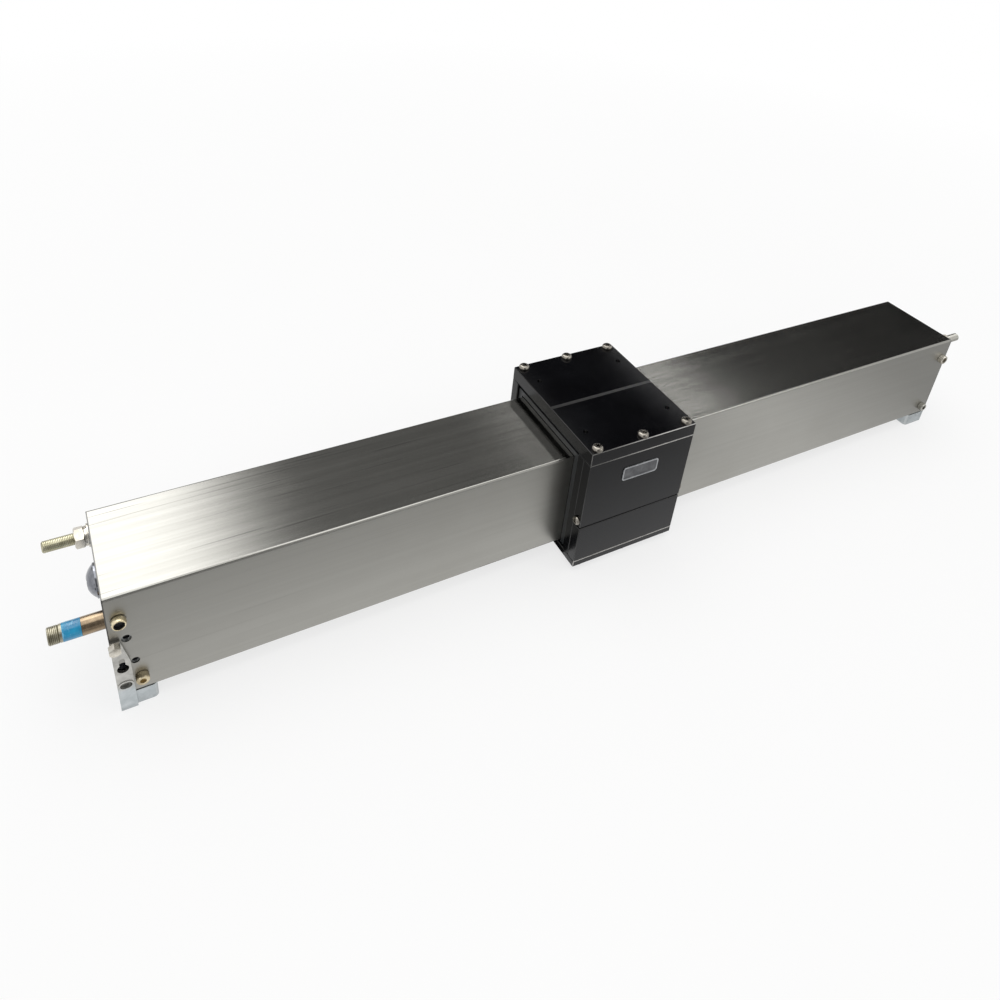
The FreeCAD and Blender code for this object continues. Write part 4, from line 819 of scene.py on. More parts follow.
def hexagon_cutter(width, low_end, high_end):
    """Six-sided bar along Z, as wide as a key."""
    return start("hexagon_cutter", bpy.ops.mesh.primitive_cylinder_add, vertices=6,
                 radius=width / math.sqrt(3), depth=high_end - low_end,
                 location=(0, 0, (low_end + high_end) / 2))


def socket_screw(radius, head, shank, length, key, sink):
    """Screw with a knurled head and a hexagon socket, its head's underside at 0."""
    edge = SOCKET_HEAD_EDGE * radius
    rim = [(0, shank), (0, radius - edge), (edge, radius), (head - 2 * edge, radius)]
    crown = [(head - 1.8 * edge, radius - edge / 2), (head - edge, radius - edge / 2),
             (head, radius - 1.5 * edge)]
    screw = turned("socket_screw", [*shank_stations(shank, length), *rim, *crown], KNURL_SIDES)
    with editing(screw, "VERT") as mesh:
        for vertex in mesh.verts:
            side = round(math.atan2(vertex.co.y, vertex.co.x) * KNURL_SIDES / (2 * math.pi))
            on_rim = vertex.co.xy.length > radius - edge / 4
            vertex.select_set(on_rim and side % 2 == 1)
        bpy.ops.transform.resize(value=(KNURL_DEPTH, KNURL_DEPTH, 1), center_override=(0, 0, 0))
    return boolean(screw, hexagon_cutter(key, head - sink, head + sink), "DIFFERENCE")


front = middle("cover_screws", front_left)
rear = middle("cover_screws", rear_left)
low, high = box_of("cover_screws", front_left)
places = (at_both_ends(Vector((front.x, cover_low.y, front.z)), HEAD_TO_FRONT)
          + at_both_ends(Vector((rear.x, cover_high.y, rear.z)), HEAD_TO_REAR))
screw = socket_screw(radius_of(low, high), cover_low.y - low.y, SHANK_M5, SHANK_LENGTH, COVER_KEY,
                     COVER_KEY_DEPTH)
stand_for(copied("cover_screw_heads", screw, spun(places)), "cover_screws")

# %% [markdown]
# The stop is a stud with a fine rolled thread, worn almost smooth. Rings could stand for a thread, but
# a helix shows at the ends. So a short zigzag profile goes through the Screw modifier once per turn; the
# overlong thread is then trimmed by a blank with chamfered ends, and both ends come out clean and closed.

# %% Threads
SPARE_TURNS = 3
SPARE_END = 0.2
CREST_START = 0.24
CREST_END = 0.76
BLANK_ROOM = 1.01
THREAD_STEPS = 28


def thread_bar(name, radius, pitch, depth, low_end, high_end, chamfer, steps=THREAD_STEPS):
    """Threaded bar along Z."""
    turns = math.ceil((high_end - low_end) / pitch) + SPARE_TURNS
    mesh = bpy.data.meshes.new(name)
    crest = [(radius - depth, 0, 0), (radius, 0, CREST_START * pitch), (radius, 0, CREST_END * pitch),
             (radius - depth, 0, pitch)]
    mesh.from_pydata(crest, [(0, 1), (1, 2), (2, 3)], [])
    bar = bpy.data.objects.new(name, mesh)
    bpy.context.scene.collection.objects.link(bar)
    apply_modifier(bar, "SCREW", angle=2 * math.pi, screw_offset=pitch, iterations=turns, steps=steps,
                   render_steps=steps, use_merge_vertices=True, merge_threshold=WELD)
    moved(bar, Matrix.Translation((0, 0, low_end - SPARE_TURNS / 2 * pitch)))
    for height, outward in ((low_end - SPARE_END * pitch, -1), (high_end + SPARE_END * pitch, 1)):
        with editing(bar, "VERT"):
            bpy.ops.mesh.select_all(action="SELECT")
            bpy.ops.mesh.bisect(plane_co=(0, 0, height), plane_no=(0, 0, outward), use_fill=True,
                                clear_outer=True)
    close_up(bar)
    full = radius * BLANK_ROOM
    blank = turned("thread_blank", [(low_end, radius - chamfer), (low_end + chamfer, full),
                                    (high_end - chamfer, full), (high_end, radius - chamfer)])
    return boolean(bar, blank, "INTERSECT")


FINE_PITCH = 1.0 * MM
STUD_THREAD = 0.14 * MM
STUD_CHAMFER = 0.9 * MM
for side, turn in (("left", HEAD_TO_LEFT), ("right", HALF_TURN @ HEAD_TO_LEFT)):
    low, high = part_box(f"stop_bolt_{side}")
    half = (high.x - low.x) / 2
    stud = thread_bar("stud", radius_of(low, high), FINE_PITCH, STUD_THREAD, -half, half, STUD_CHAMFER)
    stud = copied(f"stop_stud_{side}", stud, [at((low + high) / 2, turn)])
    stand_for(stud, f"stop_bolt_{side}", SHARP_ANGLE)

# %% [markdown]
# A lock nut holds each stud. A hexagon nut is a six-sided bar whose corners were chamfered on a lathe.
# A bevel would cut the corners straight, and on a real nut they are curved, so the bar is trimmed by a
# turned blank and then bored.

# %% Lock nuts
NUT_FACE = 0.47
NUT_SLOPE = math.radians(30)
CORNER_ROOM = 1.001
BORE_SINK = 0.4 * MM
NUT_BORE = 0.97
QUARTER_TURN = Matrix.Rotation(math.pi / 2, 4, "Z")


def hexagon_bar(width, low_end, high_end):
    """Six-sided bar along Z with its corners chamfered at both ends."""
    corner = width / math.sqrt(3)
    face = NUT_FACE * width
    fall = (corner - face) * math.tan(NUT_SLOPE)
    bar = hexagon_cutter(width, low_end, high_end)
    blank = turned("corner_blank", [(low_end, face), (low_end + fall, corner * CORNER_ROOM),
                                    (high_end - fall, corner * CORNER_ROOM), (high_end, face)], FINE_SIDES)
    return boolean(bar, blank, "INTERSECT")


def bored(piece, radius, low_end, high_end, sink):
    """Bore a piece along Z, with a countersink at both mouths."""
    drill = turned("drill", [(low_end - sink, radius + 2 * sink), (low_end + sink, radius),
                             (high_end - sink, radius), (high_end + sink, radius + 2 * sink)], FINE_SIDES)
    return boolean(piece, drill, "DIFFERENCE")


stud_low, stud_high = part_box("stop_bolt_left")
stud_axis = (stud_low + stud_high) / 2
stud_radius = radius_of(stud_low, stud_high)
washer_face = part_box("stop_washers")[0].x
spring_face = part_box("stop_spring_washers")[0].x
low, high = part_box("stop_nuts")
flats = (high.z - low.z) * math.sqrt(3) / 2
height = spring_face - low.x
nut = bored(hexagon_bar(flats, 0, height), stud_radius * NUT_BORE, 0, height, BORE_SINK)
spot = Vector((spring_face, stud_axis.y, stud_axis.z))
nuts = copied("stop_lock_nuts", nut, at_both_ends(spot, HEAD_TO_LEFT @ QUARTER_TURN))
stand_for(nuts, "stop_nuts")

# %% [markdown]
# Under the nut lie two washers. The flat one was punched and has eased edges. The other is a spring
# washer: a ring that was cut through at a slant, so that its sharp ends bite. Both are lathe work, and
# a slanted bar cuts the spring washer's gap.

# %% Washers
WASHER_BORE = 1.03
WASHER_EDGE = 0.15
RING_SINK = 0.1 * MM
SPLIT_WIDTH = 0.7 * MM
SPLIT_SLANT = 0.5
SPLIT_REACH = 1.4
SPLIT_HEIGHT = 4

low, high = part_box("stop_washers")
radius = radius_of(low, high)
height = cover_low.x - washer_face
edge = WASHER_EDGE * height
washer = turned("washer", [(0, radius - edge), (edge, radius), (height - edge, radius),
                           (height, radius - edge)], ROUND_SIDES)
washer = bored(washer, stud_radius * WASHER_BORE, 0, height, RING_SINK)
spot = Vector((cover_low.x, stud_axis.y, stud_axis.z))
stand_for(copied("stop_flat_washers", washer, at_both_ends(spot, HEAD_TO_LEFT)), "stop_washers")

low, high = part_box("stop_spring_washers")
radius = radius_of(low, high)
height = washer_face - spring_face
spring = turned("spring", [(0, radius), (height, radius)], ROUND_SIDES)
spring = bored(spring, stud_radius * WASHER_BORE, 0, height, RING_SINK)
split = start("split", bpy.ops.mesh.primitive_cube_add, size=1.0)
moved(split, Matrix.Translation((radius, 0, height / 2)) @ Matrix.Rotation(SPLIT_SLANT, 4, "X")
      @ Matrix.Diagonal((SPLIT_REACH * radius, SPLIT_WIDTH, SPLIT_HEIGHT * height, 1)))
spring = boolean(spring, split, "DIFFERENCE")
spot = Vector((washer_face, stud_axis.y, stud_axis.z))
stand_for(copied("stop_split_washers", spring, at_both_ends(spot, HEAD_TO_LEFT)), "stop_spring_washers")

# %% [markdown]
# A hexagon bolt holds each foot's ear to the end block. Its head could be a plain prism, but the nut's
# bar already has the curved corners, so the bolt is that bar with a shank joined to it.

# %% Ear bolts
EAR_BOLT_HEAD = 5 * MM
low, high = box_of("ear_bolts", front_left)
shank = turned("shank", [*shank_stations(SHANK_M4, high.y - low.y - EAR_BOLT_HEAD),
                         (EAR_BOLT_HEAD / 2, SHANK_M4)])
bolt = boolean(hexagon_bar(high.x - low.x, 0, EAR_BOLT_HEAD), shank, "UNION")
spot = Vector(((low.x + high.x) / 2, low.y + EAR_BOLT_HEAD, (low.z + high.z) / 2))
stand_for(copied("ear_hexagon_bolts", bolt, at_both_ends(spot, HEAD_TO_FRONT)), "ear_bolts")

# %% [markdown]
# Each end block has an air port on both sides, and a plug closes the one that isn't used. It is lathe
# work with a chamfered rim and a hexagon socket, cut as the cover screws' were.

# %% Port plugs
PORT_THREAD = 3.76 * MM
PLUG_EDGE = 0.5 * MM
PLUG_KEY = 5 * MM
PLUG_KEY_DEPTH = 3.6 * MM
low, high = box_of("port_plugs", rear_left)
radius = radius_of(low, high)
head = high.y - cover_high.y
plug = turned("plug", [(low.y - cover_high.y, PORT_THREAD), (0, PORT_THREAD), (0, radius - PLUG_EDGE / 2),
                       (PLUG_EDGE / 2, radius), (head - PLUG_EDGE, radius), (head, radius - PLUG_EDGE)],
              ROUND_SIDES)
plug = boolean(plug, hexagon_cutter(PLUG_KEY, head - PLUG_KEY_DEPTH, head + PLUG_KEY_DEPTH), "DIFFERENCE")
spot = Vector(((low.x + high.x) / 2, cover_high.y, (low.z + high.z) / 2))
stand_for(copied("socket_plugs", plug, at_both_ends(spot, HEAD_TO_REAR)), "port_plugs")

# %% [markdown]
# The air fitting takes a hose by pushing it in. Its brass head is round like a bead: it swells from a
# narrow foot and closes in a long curve towards the mouth, so its upper side catches the lamp. A black
# release ring sits just inside the mouth, with the seal that the hose goes through behind it. A ball cut
# at both ends would be too fat at the foot, so both curves of the head are quarters of an ellipse.

# %% Air fittings
HOSE_BORE = 3.05 * MM
HOSE_DEPTH = 5 * MM
MOUTH_BORE = 3.4 * MM
MOUTH_RIM = 3.7 * MM
MOUTH_DEPTH = 2.6 * MM
RING_STEP = 0.4 * MM
RING_FIT = 0.05 * MM
RING_EDGE = 0.2 * MM
SEAL = 0.5 * MM
BELLY_SHARE = 0.3
NECK_SHARE = 0.83
BEAD_STEPS = 8
BEAD_ANGLES = [step * math.pi / 2 / BEAD_STEPS for step in range(BEAD_STEPS + 1)]


def fitting_body(radius, proud, buried):
    """Bored head on a threaded foot, with the cover's face at 0."""
    belly = BELLY_SHARE * proud
    neck = NECK_SHARE * radius
    foot = [(belly * (1 - math.cos(angle)), neck + (radius - neck) * math.sin(angle))
            for angle in BEAD_ANGLES]
    nose = [(belly + (proud - belly) * math.sin(angle), MOUTH_RIM + (radius - MOUTH_RIM) * math.cos(angle))
            for angle in BEAD_ANGLES[1:]]
    thread = [(-buried, PORT_THREAD - RING_STEP), (-buried + RING_STEP, PORT_THREAD), (0, PORT_THREAD)]
    body = turned("fitting_body", [*thread, *foot, *nose], FINE_SIDES)
    step = proud - MOUTH_DEPTH
    bore = turned("fitting_bore", [
        (-HOSE_DEPTH, HOSE_BORE), (step, HOSE_BORE), (step, MOUTH_BORE), (proud - RING_SINK, MOUTH_BORE),
        (proud + RING_SINK, MOUTH_BORE + 2 * RING_SINK)], FINE_SIDES)
    return boolean(body, bore, "DIFFERENCE")


def release_ring(proud):
    """Ring that fills the mouth, down to its step."""
    base = proud - MOUTH_DEPTH
    top = proud - RING_STEP
    radius = MOUTH_BORE - RING_FIT
    ring = turned("ring", [(base, radius), (top - RING_EDGE, radius), (top, radius - RING_EDGE)], FINE_SIDES)
    return bored(ring, HOSE_BORE, base + SEAL, top + SEAL, RING_SINK)


for side, turn in (("left", HEAD_TO_FRONT), ("right", HALF_TURN @ HEAD_TO_FRONT)):
    low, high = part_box(f"air_fitting_{side}")
    centre = (low + high) / 2
    length = high.y - low.y
    proud = length / 2 + abs(centre.y) - cover_high.y
    spot = Vector((centre.x, math.copysign(cover_high.y, centre.y), centre.z))
    body = fitting_body((high.x - low.x) / 2, proud, length - proud)
    stand_for(copied(f"push_fitting_{side}", body, [at(spot, turn)]), f"air_fitting_{side}")
    ring = copied(f"release_ring_{side}", release_ring(proud), [at(spot, turn)])
    dress(ring, "base", "rubber")
    print(f"push_fitting_{side}: stands {proud / MM:.1f} mm proud, with its release ring")

# %% [markdown]
# A domed cap closes each end of the tube. It is a lens on a thin flange, with a hexagon socket for
# the key that screws it in. A squashed ball would be steeper at its rim, so the lens is an arc, and its
# stations come from a circle through the dome's rim and its crown.

# %% End caps
CAP_FLANGE = 1.6 * MM
CAP_DOME = 5.4 * MM
CAP_DOME_RADIUS = 11 * MM
CAP_EDGE = 0.25 * MM
CAP_KEY = 8 * MM
CAP_KEY_DEPTH = 4 * MM
CAP_STEPS = 12
CAP_CURVED = 0.9
ball = (CAP_DOME_RADIUS ** 2 + CAP_DOME ** 2) / (2 * CAP_DOME)
rim_angle = math.asin(CAP_DOME_RADIUS / ball)
crown = CAP_FLANGE + CAP_DOME
dome = [(crown - ball + ball * math.cos(angle), ball * math.sin(angle))
        for angle in (rim_angle * (1 - CAP_CURVED * step / CAP_STEPS) for step in range(CAP_STEPS + 1))]

for side, turn in (("left", HEAD_TO_LEFT), ("right", HEAD_TO_RIGHT)):
    low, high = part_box(f"end_cap_{side}")
    radius = radius_of(low, high)
    outward = max(abs(low.x), abs(high.x)) - cover_high.x
    thread = CAP_DOME_RADIUS - 2 * CAP_EDGE
    foot = [(-(high.x - low.x - outward), thread), (0, thread)]
    flange = [(0, radius - CAP_EDGE), (CAP_EDGE, radius), (CAP_FLANGE - CAP_EDGE, radius),
              (CAP_FLANGE, radius - CAP_EDGE)]
    cap = turned("cap", [*foot, *flange, *dome], FINEST_SIDES)
    cap = boolean(cap, hexagon_cutter(CAP_KEY, crown - CAP_KEY_DEPTH, crown + CAP_KEY_DEPTH), "DIFFERENCE")
    spot = Vector((math.copysign(cover_high.x, low.x), 0, (low.z + high.z) / 2))
    stand_for(copied(f"domed_cap_{side}", cap, [at(spot, turn)]), f"end_cap_{side}")

# %% [markdown]
# The proximity sensor is a round nickel plated barrel with a band of film round it. The band could be a
# change of colour on one barrel, but its edge casts a fine shadow. So the barrel has a shallow recess
# for the film, whose edges stand just below the metal, and both are turned from the same heights.

# %% Sensor barrels and labels
FILM = 0.2 * MM
FILM_SINK = 0.02 * MM
BARREL_EDGE = 0.3 * MM
label_low, label_high = box_of("sensor_labels", front_left)
sensor_axis = (label_low + label_high) / 2
sensor_radius = radius_of(label_low, label_high)
label_start = cover_low.x - label_high.x
label_end = cover_low.x - label_low.x
spot = Vector((cover_low.x, sensor_axis.y, sensor_axis.z))

for side, turn in (("left", Matrix.Identity(4)), ("right", HALF_TURN)):
    low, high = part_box(f"sensor_{side}")
    inner = label_end - (high.x - low.x)
    barrel = turned("barrel", [
        (inner, sensor_radius - BARREL_EDGE), (inner + BARREL_EDGE, sensor_radius),
        (label_start - BARREL_EDGE / 2, sensor_radius), (label_start, sensor_radius - FILM),
        (label_end, sensor_radius - FILM)], FINEST_SIDES)
    barrel = copied(f"sensor_barrel_{side}", barrel, [turn @ at(spot, HEAD_TO_LEFT)])
    stand_for(barrel, f"sensor_{side}")

film_edge = sensor_radius - FILM / 4
film = turned("film", [(label_start, film_edge), (label_start + FILM, sensor_radius),
                       (label_end - FILM, sensor_radius), (label_end, film_edge)], FINEST_SIDES)
film = bored(film, sensor_radius - FILM, label_start, label_end, FILM_SINK)
stand_for(copied("sensor_films", film, at_both_ends(spot, HEAD_TO_LEFT)), "sensor_labels")

# %% [markdown]
# The sensor ends in a threaded connector: a smooth collar and a few turns of fine thread round a
# hollow. The thread is cut as the stud's was, joined to the turned collar and then hollowed. The
# heights are shares of the connector's length, which comes from the frame.

# %% Sensor connectors
CONNECTOR_THREAD = 0.3 * MM
CONNECTOR_CHAMFER = 0.6 * MM
CONNECTOR_STEPS = 36
CONNECTOR_ROOT = 0.7 * MM
SOCKET_RADIUS = 4 * MM
COLLAR_END = 0.2
THREAD_START = 0.22
ROOT_START = 0.24
HOLLOW_FLOOR = 0.3
ROOT_END = 0.4
low, high = box_of("sensor_connectors", front_left)
connector_radius = radius_of(low, high)
connector_length = high.x - low.x
thread_root = connector_radius - CONNECTOR_ROOT
connector = thread_bar("connector", connector_radius, FINE_PITCH, CONNECTOR_THREAD,
                       THREAD_START * connector_length, connector_length, CONNECTOR_CHAMFER,
                       CONNECTOR_STEPS)
collar = turned("collar", [(0, connector_radius), (COLLAR_END * connector_length, connector_radius),
                           (ROOT_START * connector_length, thread_root),
                           (ROOT_END * connector_length, thread_root)])
connector = boolean(connector, collar, "UNION")
hollow = turned("hollow", [(HOLLOW_FLOOR * connector_length, SOCKET_RADIUS),
                           (connector_length - BORE_SINK, SOCKET_RADIUS),
                           (connector_length + BORE_SINK, SOCKET_RADIUS + 1.5 * BORE_SINK)])
connector = boolean(connector, hollow, "DIFFERENCE")
spot = Vector((high.x, sensor_axis.y, sensor_axis.z))
connector = copied("sensor_threads", connector, at_both_ends(spot, HEAD_TO_LEFT))
stand_for(connector, "sensor_connectors", SHARP_ANGLE)

# %% [markdown]
# Contacts stand in the hollow, where a cable's plug reaches them. They could be joined to the
# connector, but its brass is dull and theirs is bright, so they are turned pins with a finish of their
# own. The CAD model has no node for them, so they stand for none and ride on the base.

# %% Sensor contacts
PIN_COUNT = 4
PIN_CIRCLE = 2.1 * MM
PIN_RADIUS = 0.5 * MM
PIN_TIP = 0.25 * MM
PIN_SIDES = 12
PIN_FOOT = 0.29
PIN_SHOULDER = 0.82
PIN_END = 0.86
pins = []
for index in range(PIN_COUNT):
    pin = turned("pin", [(PIN_FOOT * connector_length, PIN_RADIUS),
                         (PIN_SHOULDER * connector_length, PIN_RADIUS),
                         (PIN_END * connector_length, PIN_TIP)], PIN_SIDES)
    angle = (index + 0.5) * 2 * math.pi / PIN_COUNT
    aside = Vector((math.cos(angle), math.sin(angle), 0)) * PIN_CIRCLE
    pins.append(moved(pin, Matrix.Translation(aside)))
contacts = copied("sensor_contacts", combine("contacts", pins), at_both_ends(spot, HEAD_TO_LEFT))
dress(contacts, "base", "fitting_brass")
print(PIN_COUNT, "contacts stand in each sensor connector")

# %% [markdown]
# The plates, castings and blocks have the right shape already, but no real edge is perfectly sharp:
# a broken edge catches a thin line of light, and that line is what makes a plate look solid. So each
# CAD node that is left is copied, its loose triangles are merged and its flat faces joined, and a
# small bevel breaks the edges. Weighted normals keep the large faces flat. What is only round, such
# as a shaft or a seal, just gets smooth shading. The width of each edge is given in millimetres.

# %% Broken edges
BROKEN_EDGE = {
    "cover": 0.10, "top_plate": 0.35, "bottom_plate": 0.25, "front_plate_upper": 0.15,
    "front_plate_lower": 0.15, "side_plate_front": 0.15, "rear_plate": 0.2, "wiper_left": 0.25,
    "wiper_right": 0.25, "foot_left": 0.3, "foot_right": 0.3, "end_block_left": 0.25,
    "end_block_right": 0.25, "slide_block": 0.2, "bridge_block": 0.25, "bumper_left": 0.4,
    "bumper_right": 0.4,
}
BEVEL_ANGLE = math.radians(40)
FLAT_ANGLE = math.radians(0.5)
TRIANGLE_WELD = 1e-6
BROKEN_SMOOTH = 50


def break_edges(piece, width):
    """Bevel the sharp edges of a piece."""
    apply_modifier(piece, "BEVEL", width=width, segments=2, limit_method="ANGLE", angle_limit=BEVEL_ANGLE)


def smooth_copy(node, edge):
    """A copy of a CAD node with its faces merged and its sharp edges broken."""
    piece = bpy.data.objects.new(f"{node}_finished", frame["nodes"][node].data.copy())
    bpy.context.scene.collection.objects.link(piece)
    activate(piece)
    bpy.ops.mesh.customdata_custom_splitnormals_clear()
    with editing(piece):
        bpy.ops.mesh.select_all(action="SELECT")
        bpy.ops.mesh.remove_doubles(threshold=TRIANGLE_WELD)
        bpy.ops.mesh.dissolve_limited(angle_limit=FLAT_ANGLE)
    if edge:
        break_edges(piece, edge * MM)
    stand_for(piece, node, BROKEN_SMOOTH if edge else SHARP_ANGLE)
    if edge:
        apply_modifier(piece, "WEIGHTED_NORMAL", keep_sharp=True)


for node in frame["nodes"]:
    if node not in stood_for:
        smooth_copy(node, BROKEN_EDGE.get(node, 0.0))

# %% [markdown]
# A small plain plate sits on the upper front plate: a rounded rectangle of grey metal in a fine bright
# rim. An inset on one block could shape both, but rim and field have different finishes, so they are two
# pieces made from one kind of rounded block: the rim keeps the outside, and the field fills the pocket,
# a little lower.

# %% Blank plate
PLATE_WIDTH = 34 * MM
PLATE_HEIGHT = 13 * MM
PLATE_THICKNESS = 0.8 * MM
PLATE_DROP = 19 * MM
PLATE_CORNER = 2.5 * MM
PLATE_RIM = 1.2 * MM
PLATE_STEP = 0.3 * MM
PLATE_EDGE = 0.1 * MM
PLATE_SPOT = Vector((PLATE_MIDDLE, PLATE_LOW.y, PLATE_HIGH.z - PLATE_DROP))


def rounded_block(name, inset, back, front):
    """Rounded rectangle on the front plate, between two heights above it."""
    size = (PLATE_WIDTH - 2 * inset, front - back, PLATE_HEIGHT - 2 * inset, 1)
    block = start(name, bpy.ops.mesh.primitive_cube_add, size=1.0)
    moved(block, Matrix.Translation(PLATE_SPOT - Vector((0, (front + back) / 2, 0))) @ Matrix.Diagonal(size))
    with editing(block, "EDGE") as mesh:
        for edge in mesh.edges:
            first, second = [vertex.co for vertex in edge.verts]
            edge.select_set(abs(first.y - second.y) > (front - back) / 2)
        bpy.ops.mesh.bevel(offset=PLATE_CORNER - inset, segments=8, affect="EDGES")
    return block


rim = rounded_block("blank_plate_rim", 0, 0, PLATE_THICKNESS)
pocket = rounded_block("pocket", PLATE_RIM, -PLATE_STEP, PLATE_THICKNESS + PLATE_STEP)
rim = boolean(rim, pocket, "DIFFERENCE")
break_edges(rim, PLATE_EDGE)
dress(rim, "carriage", "slide_aluminium")
field = rounded_block("blank_plate_field", PLATE_RIM, 0, PLATE_THICKNESS - PLATE_STEP)
dress(field, "carriage", "yoke_steel")
print(f"Blank plate: {PLATE_WIDTH / MM:.0f} by {PLATE_HEIGHT / MM:.0f} mm on the front plate")

# %% [markdown]
# The stage is a pale floor that runs into a white world. Both could be lit until they are white, but
# that would bleach the part. So both are white to the camera and in reflections, and plain and less
# bright as a source of light. The floor stays partly matt near the part, so that its shadow shows.

# %% Floor and world
FLOOR_SIZE = 30.0
FLOOR_CLOUD = 3
FLOOR_WHITE = 0.72
FLOOR_FADE = (0.5, 1.6)
WORLD_LIGHT = 0.62


def seen_rays(graph):
    """1 for rays of the camera, of reflections and through glass; 0 for spread light."""
    kinds = ("Is Camera Ray", "Is Glossy Ray", "Is Transmission Ray")
    direct, mirrored, through = [graph.node("ShaderNodeLightPath", output=kind) for kind in kinds]
    return remap(direct + mirrored + through, 0.0, 1.0)


def plain_floor():
    material, graph = new_finish("pale_floor")
    tone = mix(noise(graph, FLOOR_CLOUD, 2.0, 0.5), "f2f2f1", "f6f6f6")
    matt = graph.node("ShaderNodeBsdfDiffuse", None, {"Color": tone})
    white = graph.node("ShaderNodeEmission", None, {"Color": grey(1.0), "Strength": 1.0})
    away = graph.node("ShaderNodeVectorMath", {"operation": "LENGTH"}, {0: place(graph)}, output="Value")
    share = remap(away, *FLOOR_FADE, FLOOR_WHITE, 1.0)
    surface = graph.node("ShaderNodeMixShader", None, {0: share * seen_rays(graph), 1: matt, 2: white})
    graph.node("ShaderNodeOutputMaterial", None, {"Surface": surface})
    return material


floor = start("floor", bpy.ops.mesh.primitive_plane_add, size=FLOOR_SIZE)
floor.data.materials.append(plain_floor())

world = bpy.data.worlds.new("white_room")
bpy.context.scene.world = world
world.use_nodes = True
world.node_tree.nodes.clear()
sky = Field(world.node_tree)
level = remap(seen_rays(sky), 0.0, 1.0, WORLD_LIGHT, 1.0)
air = sky.node("ShaderNodeBackground", None, {"Color": grey(1.0), "Strength": level})
sky.node("ShaderNodeOutputWorld", None, {"Surface": air})
print("White floor, and a world that lights with", WORLD_LIGHT)

# %% [markdown]
# One large soft lamp hangs above, a weaker one stands at the front left, and a narrow strip at the
# front right draws bright lines along the carriage's chamfers. Area lamps are used, because a point or
# a sun would show as a hard spot on bright metal.

# %% Lamps
def soft_lamp(name, spot, target, size, power):
    """Area lamp that faces a point."""
    lamp = bpy.data.lights.new(name, "AREA")
    lamp.shape = "RECTANGLE"
    lamp.size, lamp.size_y = size
    lamp.energy = power
    holder = bpy.data.objects.new(name, lamp)
    holder.location = spot
    holder.rotation_euler = (Vector(target) - Vector(spot)).to_track_quat("-Z", "Y").to_euler()
    bpy.context.scene.collection.objects.link(holder)
    print(f"{name}: {power} watts")


PART_MIDDLE = (0, 0, 0.05)
CARRIAGE_CORNER = (0, -0.06, 0.11)
soft_lamp("overhead", spot=(-0.2, 0.3, 2.3), target=PART_MIDDLE, size=(2.4, 2.4), power=24)
soft_lamp("front_left", spot=(-1.4, -1.6, 1.3), target=PART_MIDDLE, size=(1.2, 1.2), power=6)
soft_lamp("front_right_strip", spot=(1.45, -1.35, 1.33), target=CARRIAGE_CORNER, size=(0.5, 0.4), power=2.5)

# %% [markdown]
# Brushed steel shows what stands round it, so cards that only reflections see do the rest, as in a
# photo studio. Painting the tones on the cover would fit one view only, because a reflection moves
# with the eye and paint doesn't. One helper makes every card, from two corners and a tone.

# %% Reflection cards
def glowing_card(name, low, high, tone):
    """A flat card between two corners that only reflections see. A tone is a colour or draws one."""
    material, graph = new_finish(name)
    colour = tone(graph) if callable(tone) else tone
    glow = graph.node("ShaderNodeEmission", None, {"Color": colour, "Strength": 1.0})
    graph.node("ShaderNodeOutputMaterial", None, {"Surface": glow})
    size = Vector(high) - Vector(low)
    turn = HEAD_TO_FRONT if size.z else Matrix.Identity(4)
    card = start(name, bpy.ops.mesh.primitive_plane_add, size=1.0)
    moved(card, Matrix.Translation((Vector(low) + Vector(high)) / 2) @ turn
          @ Matrix.Diagonal((size.x, size.z or size.y, 1, 1)))
    card.data.materials.append(material)
    card.visible_camera = False
    card.visible_diffuse = False
    card.visible_shadow = False
    card.visible_transmission = False
    print(f"{name}: {size.x:.2f} by {size.z or size.y:.2f} m")


print("Cards show in reflections only")

# %% [markdown]
# The cover's top goes from white at the left end to dark at the right, with a bright patch just right of
# the carriage. A long card behind gives it that fall. Upright bands on the card would cross the top at
# a slant, because the mirrored card is seen in perspective. So its tones fan out from a point below the
# floor, and each line across the top meets one tone. They are listed by their place on the cover, in
# millimetres from the middle.

# %% Back card
TOP_TONES = [(-520, 3.6), (-374, 3.6), (-341, 2.9), (-309, 1.05), (-279, 0.26), (-240, 0.21),
             (-155, 0.21), (-116, 0.17), (-90, 0.25), (-78, 1.0), (-66, 1.0), (-58, 0.03), (55, 0.03),
             (59, 4.0), (68, 4.0), (76, 0.7), (87, 0.2), (104, 0.10), (130, 0.085), (165, 0.09),
             (220, 0.085), (265, 0.06), (330, 0.045), (390, 0.025), (560, 0.02)]
TOP_LEFT = TOP_TONES[0][0] * MM
TOP_RIGHT = TOP_TONES[-1][0] * MM
TOP_LEVEL = max(tone for _, tone in TOP_TONES)
FAN_X = -0.393
FAN_Z = -0.343
CARD_FOOT = (0.75, 1.0)
CARD_FOOT_LEVEL = 0.1


def back_tones(graph):
    """The list of tones, fanned out, over a dark foot."""
    along, _, up = axes(place(graph))
    on_top = (along - FAN_X) / (up - FAN_Z) * (cover_high.z - FAN_Z) + FAN_X
    stops = [((x * MM - TOP_LEFT) / (TOP_RIGHT - TOP_LEFT), tone / TOP_LEVEL) for x, tone in TOP_TONES]
    tone = graph.node("ShaderNodeValToRGB", {"stops": stops}, {"Fac": remap(on_top, TOP_LEFT, TOP_RIGHT)})
    return tone * remap(up, *CARD_FOOT, CARD_FOOT_LEVEL, 1.0) * TOP_LEVEL


glowing_card("back_card", low=(-0.9, 1.333, 0.3), high=(3.4, 1.333, 4.0), tone=back_tones)

# %% [markdown]
# A dim card at the front left gives the small bright parts their dark side. Two cards lie on the
# floor: one gives the front its slow changes of grey, the other is the shade under the cover. The
# floor itself could carry these tones, but then the camera would see them too.

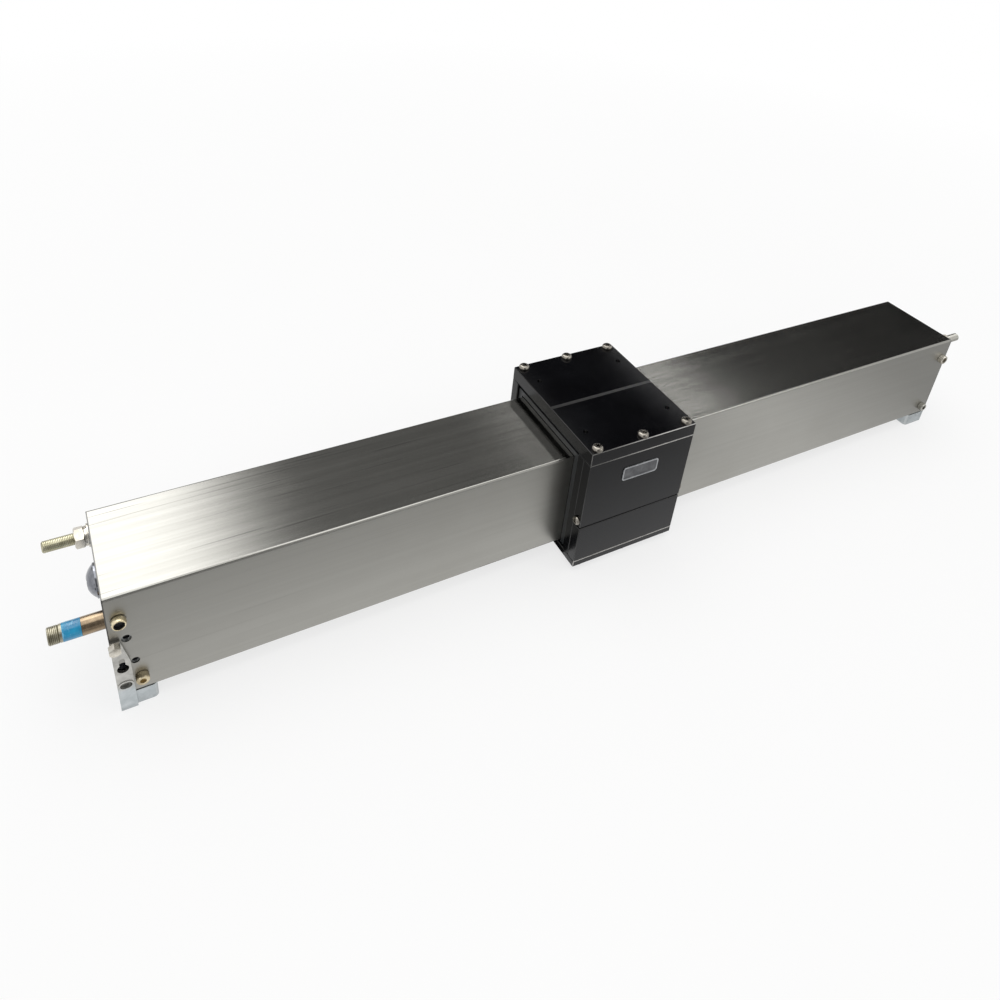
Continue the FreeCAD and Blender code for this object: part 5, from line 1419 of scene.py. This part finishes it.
# %% Front and floor cards
CARD_LIFT = 1 * MM
DIM_CARD = 0.25
SHADE_CARD = 0.03
FLOOR_GLOW = 1.15
FLOOR_GLOW_END = 0.6
GLOW_FALL = (0.24, 0.46)
FAR_SHADE = 0.57
FAR_STRIP = (-0.19, -0.06)
FAR_STRIP_END = (0.13, 0.22)


def floor_tones(graph):
    """Pale beside the part, darker further out at the left and past the right end."""
    along, across, _ = axes(place(graph))
    far = remap(across, *FAR_STRIP, FAR_SHADE, 0.0) * remap(along, *FAR_STRIP_END, 1.0, 0.0)
    return (1.0 - far) * remap(along, *GLOW_FALL, FLOOR_GLOW, FLOOR_GLOW_END)


glowing_card("front_left_card", low=(-1.2, -1.2, 0.1), high=(0.1, -1.2, 1.8), tone=grey(DIM_CARD))
glowing_card("floor_card", low=(-1.5, -1.5, CARD_LIFT), high=(1.5, -0.045, CARD_LIFT), tone=floor_tones)
glowing_card("shade_card", low=(-0.13, -0.045, CARD_LIFT), high=(0.08, 0.041, CARD_LIFT),
             tone=grey(SHADE_CARD))

# %% [markdown]
# The camera stands where the photo was taken from: above the left end, looking along the cover. The
# photo was cropped out of a taller frame. A camera that is only turned would make the upright edges
# lean differently, so the lens is shifted down, and the camera is rolled a little. The Standard view
# transform shows each colour about as it is written.

# %% Camera
CAMERA_SPOT = (-0.39309, -0.45236, 0.54927)
CAMERA_AZIMUTH = math.radians(-31.08)
CAMERA_ELEVATION = math.radians(29.04)
CAMERA_ROLL = math.radians(5.83)
SENSOR_WIDTH = 36.0
FOCAL_LENGTH = 31.17
SHIFT_RIGHT = 0.0017
SHIFT_UP = -0.2262
VIEW_LIMIT = 100.0
lens = bpy.data.cameras.new("photo_view")
lens.sensor_width = SENSOR_WIDTH
lens.lens = FOCAL_LENGTH
lens.shift_x = SHIFT_RIGHT
lens.shift_y = SHIFT_UP
lens.clip_end = VIEW_LIMIT
camera = bpy.data.objects.new("photo_view", lens)
camera.matrix_world = (Matrix.Translation(CAMERA_SPOT) @ Matrix.Rotation(CAMERA_AZIMUTH, 4, "Z")
                       @ Matrix.Rotation(math.pi / 2 - CAMERA_ELEVATION, 4, "X")
                       @ Matrix.Rotation(CAMERA_ROLL, 4, "Z"))
bpy.context.scene.collection.objects.link(camera)
bpy.context.scene.camera = camera
bpy.context.scene.view_settings.view_transform = "Standard"
print("Camera at", CAMERA_SPOT)
